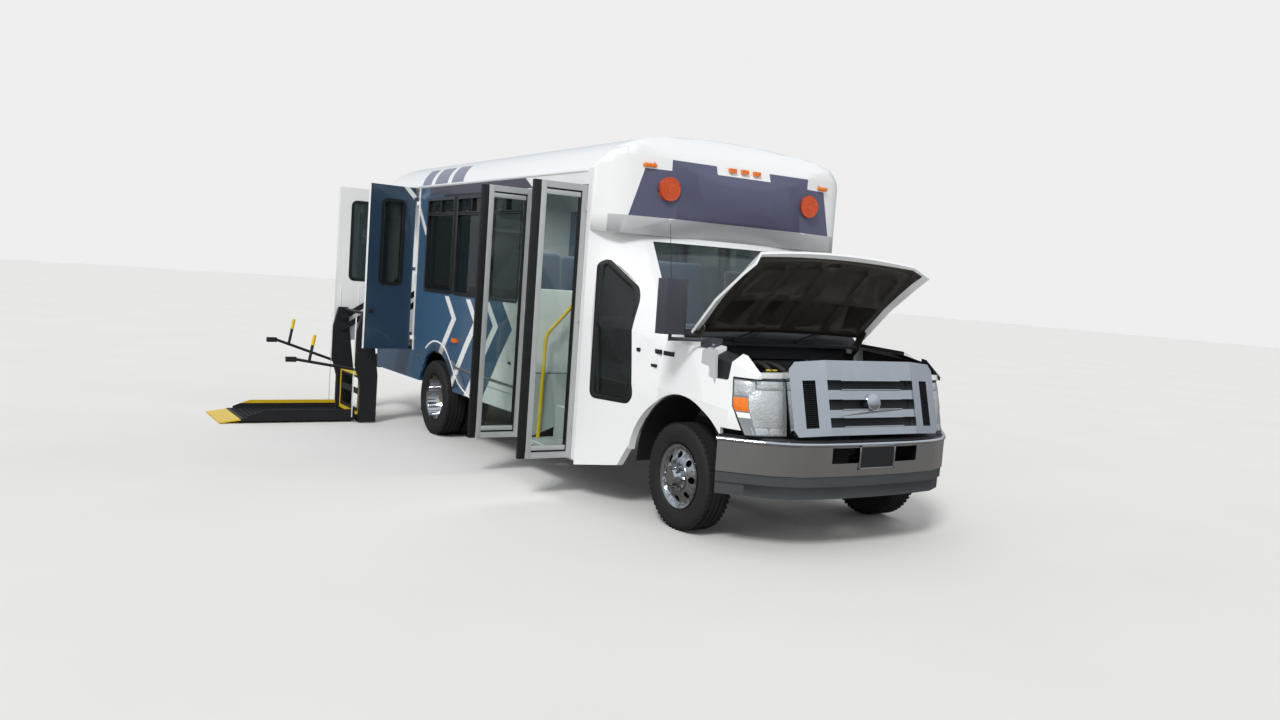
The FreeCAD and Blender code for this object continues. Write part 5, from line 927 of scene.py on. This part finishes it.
for label, material, *patches in (
        ("reflectors", reflector, (0.06, 1.95, 0.32, 1.62, 1.0, 6, 5.0), (0.06, 2.2, 0.06, 0.30, 1.0, 5, 1.0),
         (0.06, 1.5, 1.66, 1.94, 1.0, 5, 2.0)),
        ("turn_segments", amber_lens, (2.0, 2.94, 0.86, 1.32, 1.5, 6, 5.0)),
        ("white_bars", vinyl_white, (2.0, 2.9, 0.62, 0.8, 1.5, 6, 2.0)),
        ("upper_bowls", reflector, (1.6, 2.9, 1.4, 1.9, 1.0, 5, 3.0)),
        ("rims", window_rubber, (0.0, 3.0, 1.955, 2.0, 3.0, 8, 0.0), (0.0, 3.0, 0.0, 0.03, 3.0, 8, 0.0),
         (2.95, 3.0, 0.0, 2.0, 3.0, 8, 0.0))):
    mesh = bmesh.new()
    for patch in patches:
        lamp_patch(mesh, *patch)
    mirror(mesh)
    settle(mesh, "headlamp_" + label, "body", material, crease=60.0)

# Front bumper: one chromed pressing with a slot in its middle, a bright rolled lip above and the
# blank plate's frame; black pad on top and below it the two-step valance, a matt grained grey.
BUMPER_OUTLINE = [(892, 0), (886, 300), (852, 600), (768, 780), (648, 915), (512, 1046)]
LIP_Z = 724
LIP_IN = 12
PAD_FOOT_Z = 726
SLOT_HALF = 470
SLOT_X = (850, 893)
PLATE_X = (889, 897.5)


def smooth_run(points, steps=6):
    """Points joined through a rounded path."""
    run = []
    for i in range(len(points) - 1):
        p0, p1, p2, p3 = (Vector(points[min(max(i + k, 0), len(points) - 1)]) for k in (-1, 0, 1, 2))
        for k in range(steps):
            t = k / steps
            run.append(0.5 * (2 * p1 + (p2 - p0) * t + (2 * p0 - 5 * p1 + 4 * p2 - p3) * t * t +
                              (3 * p1 - p0 - 3 * p2 + p3) * t ** 3))
    return run + [Vector(points[-1])]


def bumper_field(place, normal):
    return 1 if place.x < SLOT_X[0] and abs(place.y) < SLOT_HALF or place.x > SLOT_X[1] else 0


grey_moulding = finish("grey_moulded_plastic", "#383c3e", "#44484a", 4.0, (0.5, 0.65), 0.3, 420.0,
                       Specular_IOR_Level=0.4)
repainted("valance", "bumper_valance", [grey_moulding, moulded_black],
          lambda place, normal: 1 if place.z > PAD_FOOT_Z else 0)
repainted("front_bumper", "bumper_chrome", [chrome_plate, moulded_black], bumper_field, crease=28.0)
half = [(x - LIP_IN, y, LIP_Z) for x, y in BUMPER_OUTLINE]
mesh = bmesh.new()
tube(mesh, smooth_run([(x, -y, z) for x, y, z in reversed(half)] + half[1:]), 15, 10)
settle(mesh, "bumper_rolled_lips", "body", chrome_plate)
boxes("plate_frame", "body", chrome_plate, *(
    (*PLATE_X, *rest, 2) for rest in ((-163, -150, 560, 722), (150, 163, 560, 722), (-163, 163, 556, 572),
                                      (-163, 163, 708, 722))))

# Wheels: chromed covers over the steel discs, each with its ring of nuts, and highway tyres with
# ribbed sidewalls, four grooves and blocks at the shoulders. Rubber is matt, with brown road dust.
TYRE_R = 372
TRACK_FRONT = 1763
TRACK_REAR = 1979
DUAL_HALF = 123
REAR_X = -4013
TYRE_SEGMENTS = 84
TYRE_HALF_SECTION = [
    (203, 72), (216, 77), (225, 78), (228, 84), (240, 96), (243, 99), (246, 99), (262, 105), (284, 110),
    (300, 111.5), (304, 110.5), (308, 111.5), (328, 108.5), (332, 107), (336, 107.5), (350, 101), (360, 92),
    (366, 80), (368, 62), (361, 60), (361, 54), (370.5, 52), (371, 24), (362, 22), (362, 15), (371.5, 13),
    (372, 0)]
SHOULDER_Y = 77
NUT_SIZE = (17.0, 17.0, 34.0)
TREAD = {"Count": 58, "Radius": 367.0, "Size": (9.0, 20.0, 30.0)}
AXLES = [("tyre_front_", 0, TRACK_FRONT / 2, [0], 130, 92.0),
         ("tyres_rear_", REAR_X, TRACK_REAR / 2, [-DUAL_HALF, DUAL_HALF], 29, 122.0)]
UPRIGHT = Matrix.Rotation(math.radians(90), 4, "X")


def tyre(mesh, x, y):
    section = TYRE_HALF_SECTION + [(r, -offset) for r, offset in reversed(TYRE_HALF_SECTION[:-1])]
    hoop(mesh, [[(x + r * a, y + offset, TYRE_R + r * b) for r, offset in section]
                for a, b in circle(TYRE_SEGMENTS)])


tyre_rubber = finish("tyre_rubber", "#1a1a1b", "#272625", 16.0, (0.62, 0.82), 0.25, 300.0,
                     Specular_IOR_Level=0.35)
tread_tree = pattern("tread_blocks", tyre_rubber, ring=True)
nut_tree = pattern("wheel_nuts", chrome_wheel, ring=True, nut=True)
for side, hand in ((1, "left"), (-1, "right")):
    for start, x, half, offsets, nut_out, nut_ring in AXLES:
        name = start + hand
        wheel = name.replace("tyre", "wheel")
        places = [side * half + offset for offset in offsets]
        mesh = bmesh.new()
        for y in places:
            tyre(mesh, x, y)
        settle(mesh, name + "_rubber", body_of[name], tyre_rubber, 50.0, (name,))
        shoulders = [y + way * SHOULDER_Y for y in places for way in (-1, 1)]
        spots = [Matrix.Translation((x, y, TYRE_R)) @ UPRIGHT for y in shoulders]
        settle(grown(tread_tree, spots, **TREAD), name + "_tread_blocks", body_of[name], tyre_rubber)
        repainted(wheel, wheel + "_chrome", chrome_wheel, crease=30.0)
        spot = Matrix.Translation((x, side * (half + nut_out), TYRE_R)) @ UPRIGHT
        mesh = grown(nut_tree, [spot], Count=8, Radius=nut_ring, Size=NUT_SIZE)
        settle(mesh, wheel + "_nuts", body_of[name], chrome_wheel)

# Engine bay: cast engine block, black air intake with its ribbed duct, battery, pale milky expansion
# tank, hoses in braided sleeves and two dipstick handles in bright yellow enamel; liners at the sides.
DUCT = (368, 1072)
RIBS_Y = range(-420, 240, 60)

engine_casting = finish("engine_casting", "#26282a", "#3a3b3b", 9.0, (0.5, 0.75), 0.3, 150.0, Metallic=0.5)
tank_plastic = finish("natural_polyethylene", "#b9b6a6", "#c6c3b4", 9.0, (0.4, 0.55), Subsurface_Weight=0.2,
                      Subsurface_Scale=0.01)
yellow_paint = finish("safety_yellow_enamel", "#d8b312", "#e6c325", 5.0, (0.35, 0.5), 0.05, 90.0,
                      Coat_Weight=0.2)
dress(engine_casting, "engine")
dress(yellow_paint, "grab_rails", "lift_flap")
mesh = bmesh.new()
block(mesh, -250, 470, 560, 800, 1040, 1062, 6)
block(mesh, 470, 600, 400, 620, 1050, 1100, 8)
mirror(mesh)
for row in ((500, 610, -390, 390, 1085, 1112, 8), (120, 380, 440, 690, 880, 1105, 10),
            (-180, 40, -700, -480, 930, 1120, 12)):
    block(mesh, *row)
for y in RIBS_Y:
    rod(mesh, (DUCT[0], y, DUCT[1]), (DUCT[0], y + 34, DUCT[1]), 50, 20)
tube(mesh, [(368, -520, 1068), (368, -200, 1072), (368, 200, 1072), (330, 400, 1060), (240, 470, 1040)],
     44, 18)
settle(mesh, "engine_bay_mouldings", "body", moulded_black)
mesh = bmesh.new()
for y, reach in ((-330, 150), (-250, 210), (210, 190)):
    tube(mesh, smooth_run([(-170, y, 1120), (0, y - 30, 1168), (reach, y - 60, 1150),
                           (reach + 150, y - 90, 1090), (470, y - 90, 1040)]), 17, 12)
settle(mesh, "engine_bay_hoses", "body", aluminised_steel)
mesh = bmesh.new()
block(mesh, 100, 300, -720, -520, 900, 1098, 20, 3)
rod(mesh, (200, -620, 1090), (200, -620, 1118), 34, 20)
settle(mesh, "coolant_tank", "body", tank_plastic)
mesh = bmesh.new()
for y in (-455, -400):
    ring = [(250 + a, y + b, 1140) for a, b in circle(12, 16)]
    tube(mesh, ring + ring[:1], 5, 8)
    rod(mesh, (234, y, 1000), (234, y, 1140), 4, 8)
settle(mesh, "dipstick_handles", "body", yellow_paint)

# Entry leaves: frames of satin aluminium, pale with a soft sheen, round clear panes; black rubber on
# the free edges, thin glazing seals, a rail at head and foot and three hinge knuckles.
LEAF_FREE_Y = -1661
LEAF_Z = (308, 2377)
GLASS_Y = (-1606, -1271)
GLASS_Z = (363, 2322)
SEAL_HALF = 7
SEAL_Y = (GLASS_Y[0] - SEAL_HALF, GLASS_Y[1] + SEAL_HALF)
SEAL_Z = (GLASS_Z[0] - SEAL_HALF, GLASS_Z[1] + SEAL_HALF)
LEAF_RAIL = 42
KNUCKLE_Y = -1225

satin_aluminium = finish("satin_anodised_aluminium", "#b0b3b4", "#bfc2c3", 6.0, (0.32, 0.45), 0.04, 200.0,
                         Metallic=0.3)
dress(satin_aluminium, "entry_leaf_front", "entry_leaf_rear")
for leaf, x0, x1 in (("entry_leaf_front", -1131, -1097), ("entry_leaf_rear", -2063, -2029)):
    wide = (x0 - 2, x1 + 2)
    rows = [(x0 - 3, x1 + 3, LEAF_FREE_Y - 2, GLASS_Y[0], *LEAF_Z, 5)]
    rows += [(*wide, y - SEAL_HALF, y + SEAL_HALF, *SEAL_Z, 2) for y in GLASS_Y]
    rows += [(*wide, *SEAL_Y, z - SEAL_HALF, z + SEAL_HALF, 2) for z in GLASS_Z]
    boxes(leaf + "_rubber", leaf, window_rubber, *rows)
    mesh = bmesh.new()
    block(mesh, *wide, *GLASS_Y, GLASS_Z[0] + SEAL_HALF, GLASS_Z[0] + LEAF_RAIL, 2)
    block(mesh, *wide, *GLASS_Y, GLASS_Z[1] - LEAF_RAIL, GLASS_Z[1] - SEAL_HALF, 2)
    block(mesh, x0 - 3, x1 + 3, GLASS_Y[0] + 1, GLASS_Y[0] + 46, LEAF_Z[0] + 1, LEAF_Z[1] - 1, 2)
    for z in (520, 1350, 2180):
        rod(mesh, (x1 + 4, KNUCKLE_Y, z), (x1 + 4, KNUCKLE_Y, z + 90), 8, 12)
    settle(mesh, leaf + "_rails", leaf, satin_aluminium)

# Lift doors: moulded leaves, glossy outside in the body's blue, painted darker navy as shade, and white
# inside, with a rubber-edged pane, channels for the stiffeners and a black knob; each is drawn shut
# and swung to where it stands open.
LIFT_LEAVES = [("lift_leaf_front", -4700, 97, -5220, -4716, (-5072, -4849)),
               ("lift_leaf_rear", -5750, -90, -5230, -5734, (-5601, -5378))]
LIFT_PIN_Y = -1231
OUTER_Y = -1219
INNER_Y = -1181
PANE_Z = (1475, 2320)
KNOB_Z = 1180
# The leaves' outside is the body's blue livery, painted darker as painted shade.
shade_darkened_blue_enamel = finish("shade_darkened_blue_enamel", "#23384b", "#2b4258", 3.0, (0.25, 0.35), 0.02, 30.0, Coat_Weight=0.5,
                     Coat_Roughness=0.06)


def leaf_field(place, pane_x):
    """Blue outside, glass within the opening, white elsewhere."""
    if place.y < OUTER_Y + 1.5:
        return 0
    glazed = pane_x[0] + 4 < place.x < pane_x[1] - 4 and PANE_Z[0] + 4 < place.z < PANE_Z[1] - 4
    return 2 if glazed and OUTER_Y + 2 < place.y < INNER_Y - 2 else 1


for body, hinge_x, angle, free_x, hinged_x, pane_x in LIFT_LEAVES:
    mesh = taken(body)
    turn(mesh, -angle, hinge_x, LIFT_PIN_Y)
    for face in mesh.faces:
        face.material_index = leaf_field(face.calc_center_median(), pane_x)
    drawn = [(mesh, "_painted", [shade_darkened_blue_enamel, white_enamel, tinted_glass], (body,))]
    way = 1 if hinged_x > free_x else -1
    (left, right), (foot, head) = pane_x, PANE_Z
    edge = rounded([(left, foot), (right, foot), (right, head), (left, head)], 45)
    wide, slim = shrunk(edge, -22), shrunk(edge, 10)
    mesh = bmesh.new()
    for skin, lip in ((OUTER_Y, OUTER_Y - 3), (INNER_Y, INNER_Y + 3)):
        corners = ((wide, skin), (wide, lip), (slim, lip), (slim, skin))
        hoop(mesh, [[(x, y, z) for x, z in line] for line, y in corners])
    for z in (900, 1380, 2360):
        block(mesh, hinged_x - way * 70, hinged_x, INNER_Y, INNER_Y + 9, z, z + 60, 3)
    drawn.append((mesh, "_seals", window_rubber, ()))
    mesh = bmesh.new()
    for x in (free_x + way * 49, (free_x + hinged_x) / 2, hinged_x - way * 49):
        block(mesh, x - 9, x + 9, INNER_Y, INNER_Y + 5, 830, 1400, 2)
    block(mesh, free_x - 1.5, free_x + 1.5, OUTER_Y - 1.5, INNER_Y + 1.5, 800, 2470, 1)
    if body == "lift_leaf_front":
        slab(mesh, [(-4717, 2335), (-4717, 2400), (-4795, 2476), (-4860, 2476)], OUTER_Y - 0.8, OUTER_Y + 0.5)
    drawn.append((mesh, "_channels", white_enamel, ()))
    mesh = bmesh.new()
    knob_x = free_x + way * 60
    rod(mesh, (knob_x, OUTER_Y, KNOB_Z), (knob_x, OUTER_Y - 12, KNOB_Z), 22, 20)
    rod(mesh, (knob_x, OUTER_Y - 12, KNOB_Z), (knob_x, OUTER_Y - 26, KNOB_Z), 15, 20)
    drawn.append((mesh, "_knob", moulded_black, ()))
    for mesh, ending, material, replaced in drawn:
        turn(mesh, angle, hinge_x, LIFT_PIN_Y)
        settle(mesh, body + ending, body, material, replaced=replaced)

# Wheelchair lift: welded steel in black powder coat, dull and finely pebbled, with its flap, bridge
# frame and rail tops in safety yellow; dark deck grating, white marker strips on the towers and
# yellow sleeves on the grips.
RAIL_TOP_X = -5585
RAIL_TOP_Z = 100
BRIDGE_X = (-5540, -4910)
BRIDGE_Z = (100, 474)
GRIP_Y = -2250


def bridge_field(place, normal):
    return 0 if BRIDGE_X[0] < place.x < BRIDGE_X[1] and BRIDGE_Z[0] < place.z < BRIDGE_Z[1] else 1


powder_black = finish("black_powder_coat", "#191a1c", "#232427", 8.0, (0.45, 0.6), 0.25, 500.0,
                      Specular_IOR_Level=0.45)
dress(powder_black, "lift_arms", "lift_links", "lift_towers", "lift_base")
repainted("lift_platform", "lift_platform_coated", [powder_black, yellow_paint],
          lambda place, normal: 1 if place.x < RAIL_TOP_X and place.z > RAIL_TOP_Z else 0,
          level_cuts(RAIL_TOP_Z) + cross_cuts(RAIL_TOP_X))
repainted("lift_bridge", "lift_bridge_coated", [powder_black, yellow_paint], bridge_field,
          cross_cuts(*BRIDGE_X) + level_cuts(*BRIDGE_Z))
grating = pattern("deck_grating", powder_black)
for name, place, count, step, size in (
        ("lift_deck_bars", (-5563, -2305, 52), 27, (26.0, 0.0, 0.0), (5.0, 1080.0, 5.0)),
        ("lift_deck_crossbars", (-5225, -2818, 51.5), 20, (0.0, 54.0, 0.0), (690.0, 5.0, 4.0))):
    mesh = grown(grating, [Matrix.Translation(place)], Count=count, Step=step, Size=size)
    settle(mesh, name, "lift_platform", powder_black)
boxes("lift_tower_strips", "lift_towers", white_enamel, (-4812, -4780, -1793, -1789, 60, 1100, 1),
      (-5670, -5638, -1793, -1789, 60, 1100, 1))
mesh = bmesh.new()
for x, z in ((-4795, 633), (-5655, 732)):
    rod(mesh, (x, GRIP_Y + 28, z + 168), (x, GRIP_Y + 45, z + 272), 17, 16)
settle(mesh, "lift_grip_sleeves", "lift_towers", yellow_paint)

# Cabin: speckled vinyl floor and paler steps with white nosings, a modesty panel behind the entry,
# the dark dashboard and the pale grained engine cover. The vinyls are matt, so they only show tone.
NOSINGS = [(-1175, 300), (-868, 570), (-560, 840)]
COVER_FRONT = -600
COVER_Y = (-430, 310)

floor_vinyl = finish("speckled_floor_vinyl", "#4b4f52", "#6a6e70", 220.0, (0.5, 0.65), 0.1, 300.0,
                     Specular_IOR_Level=0.4)
step_vinyl = finish("pale_step_vinyl", "#a7acac", "#bcc1c0", 160.0, (0.5, 0.65), 0.1, 300.0,
                    Specular_IOR_Level=0.4)
cover_vinyl = finish("pale_moulded_vinyl", "#8a8c8b", "#979998", 5.0, (0.5, 0.62), 0.2, 300.0,
                     Specular_IOR_Level=0.4)
dress(floor_vinyl, "floor")
dress(step_vinyl, "stepwell")
boxes("step_nosings", "body", vinyl_white, *((-2040, -1120, y, y + 28, z - 1, z + 3, 1) for y, z in NOSINGS))
boxes("entry_modesty_panel", "body", white_enamel, (-2128, -2112, -1140, -545, 842, 1560, 7, 3))
repainted("dashboard", "dashboard_trimmed", [moulded_black, cover_vinyl],
          lambda place, normal: 1 if place.x < COVER_FRONT and COVER_Y[0] < place.y < COVER_Y[1] else 0)

# Seats: foam under woven cloth, which is soft and dull with a faint sheen, crowned in the middle and
# drawn in at the seams, with sewn channels; each pad is a form of its own on a steel pedestal.
ROWS = [(-2350, 1), (-3100, 1), (-3850, 1), (-4600, 1), (-2700, -1), (-3450, -1), (-4100, -1)]
ROW_Y = 720
PAD_CELLS = 14
FACE_POWER = 1.6
BELLY = 0.10
SIDES_IN = 0.035
FRONT_IN = 0.03
FLAT_PART = 0.72
CROWN_PART = 0.28
SEAM_DEPTH = 0.10
SEAM_HALF = 0.022
CORNER_IN = 0.05

seat_cloth = finish("woven_seat_cloth", "#343d4b", "#48536a", 60.0, (0.85, 0.95), 0.5, 900.0,
                    Specular_IOR_Level=0.2, Sheen_Weight=0.3)


def pad(name, place, length, width, thick, channels):
    """A crowned pad lying flat, its sides pulled in between the corners, then put at its place."""
    seams = [(k + 0.5) / channels - 0.5 for k in range(1, channels)]
    mesh = bmesh.new()
    bmesh.ops.create_cube(mesh, size=2.0)
    bmesh.ops.subdivide_edges(mesh, edges=mesh.edges[:], cuts=PAD_CELLS, use_grid_fill=True)
    for vert in mesh.verts:
        u, v, w = vert.co
        round_u, round_v = (math.copysign(1 - (1 - abs(a)) ** FACE_POWER, a) for a in (u, v))
        belly = math.sqrt(1 - BELLY * w * w) * (1 - CORNER_IN * (abs(u) * abs(v)) ** 4)
        dome = (1 - u ** 4) * (1 - v ** 4)
        seam = max(math.exp(-((u * 0.5 - at) / SEAM_HALF) ** 2) for at in seams) if w > 0 else 0
        vert.co = Vector((round_u * (1 - SIDES_IN * (1 - round_v * round_v)) * belly * length / 2,
                          round_v * (1 - FRONT_IN * (1 - round_u * round_u)) * belly * width / 2,
                          w * (FLAT_PART + CROWN_PART * dome ** 0.5 - SEAM_DEPTH * seam) * thick / 2))
    bmesh.ops.transform(mesh, verts=mesh.verts[:], matrix=place)
    piece = settle(mesh, name, "body", seat_cloth, crease=80.0)
    return piece


def seated(label, x, y, width, sit, back, replaced=None):
    """Cushion and backrest of one seat whose front edge is at x."""
    cushion = pad(label + "_cushion", Matrix.Translation((x - 215, y, sit - 45)), 425, width, 96, 3)
    if replaced:
        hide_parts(replaced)
    foot, head = Vector((x - 388, y, sit - 25)), Vector((x - 497, y, back - 2))
    lean = math.atan2(head.z - foot.z, head.x - foot.x)
    place = Matrix.Translation((foot + head) / 2) @ Matrix.Rotation(-lean, 4, "Y")
    pad(label + "_backrest", place, (head - foot).length, width, 84, 4)


for k, (x, side) in enumerate(ROWS):
    seated("seat_row_%d" % (k + 1), x, side * ROW_Y, 836, 1290, 1900, None if k else "passenger_seats")
seated("driver_seat", -820, 550, 556, 1130, 1830, "driver_seat")
rows = [(-1200, -870, 350, 750, 765, 1040, 12)]
for x, side in ROWS:
    for y in (side * ROW_Y - 250, side * ROW_Y + 250):
        rows.append((x - 330, x - 80, y - 25, y + 25, 840, 852, 3))
        rows.append((x - 235, x - 175, y - 16, y + 16, 845, 1200, 5))
    rows.append((x - 400, x - 30, side * ROW_Y - 380, side * ROW_Y + 380, 1188, 1204, 5))
boxes("seat_pedestals", "body", powder_black, *rows)
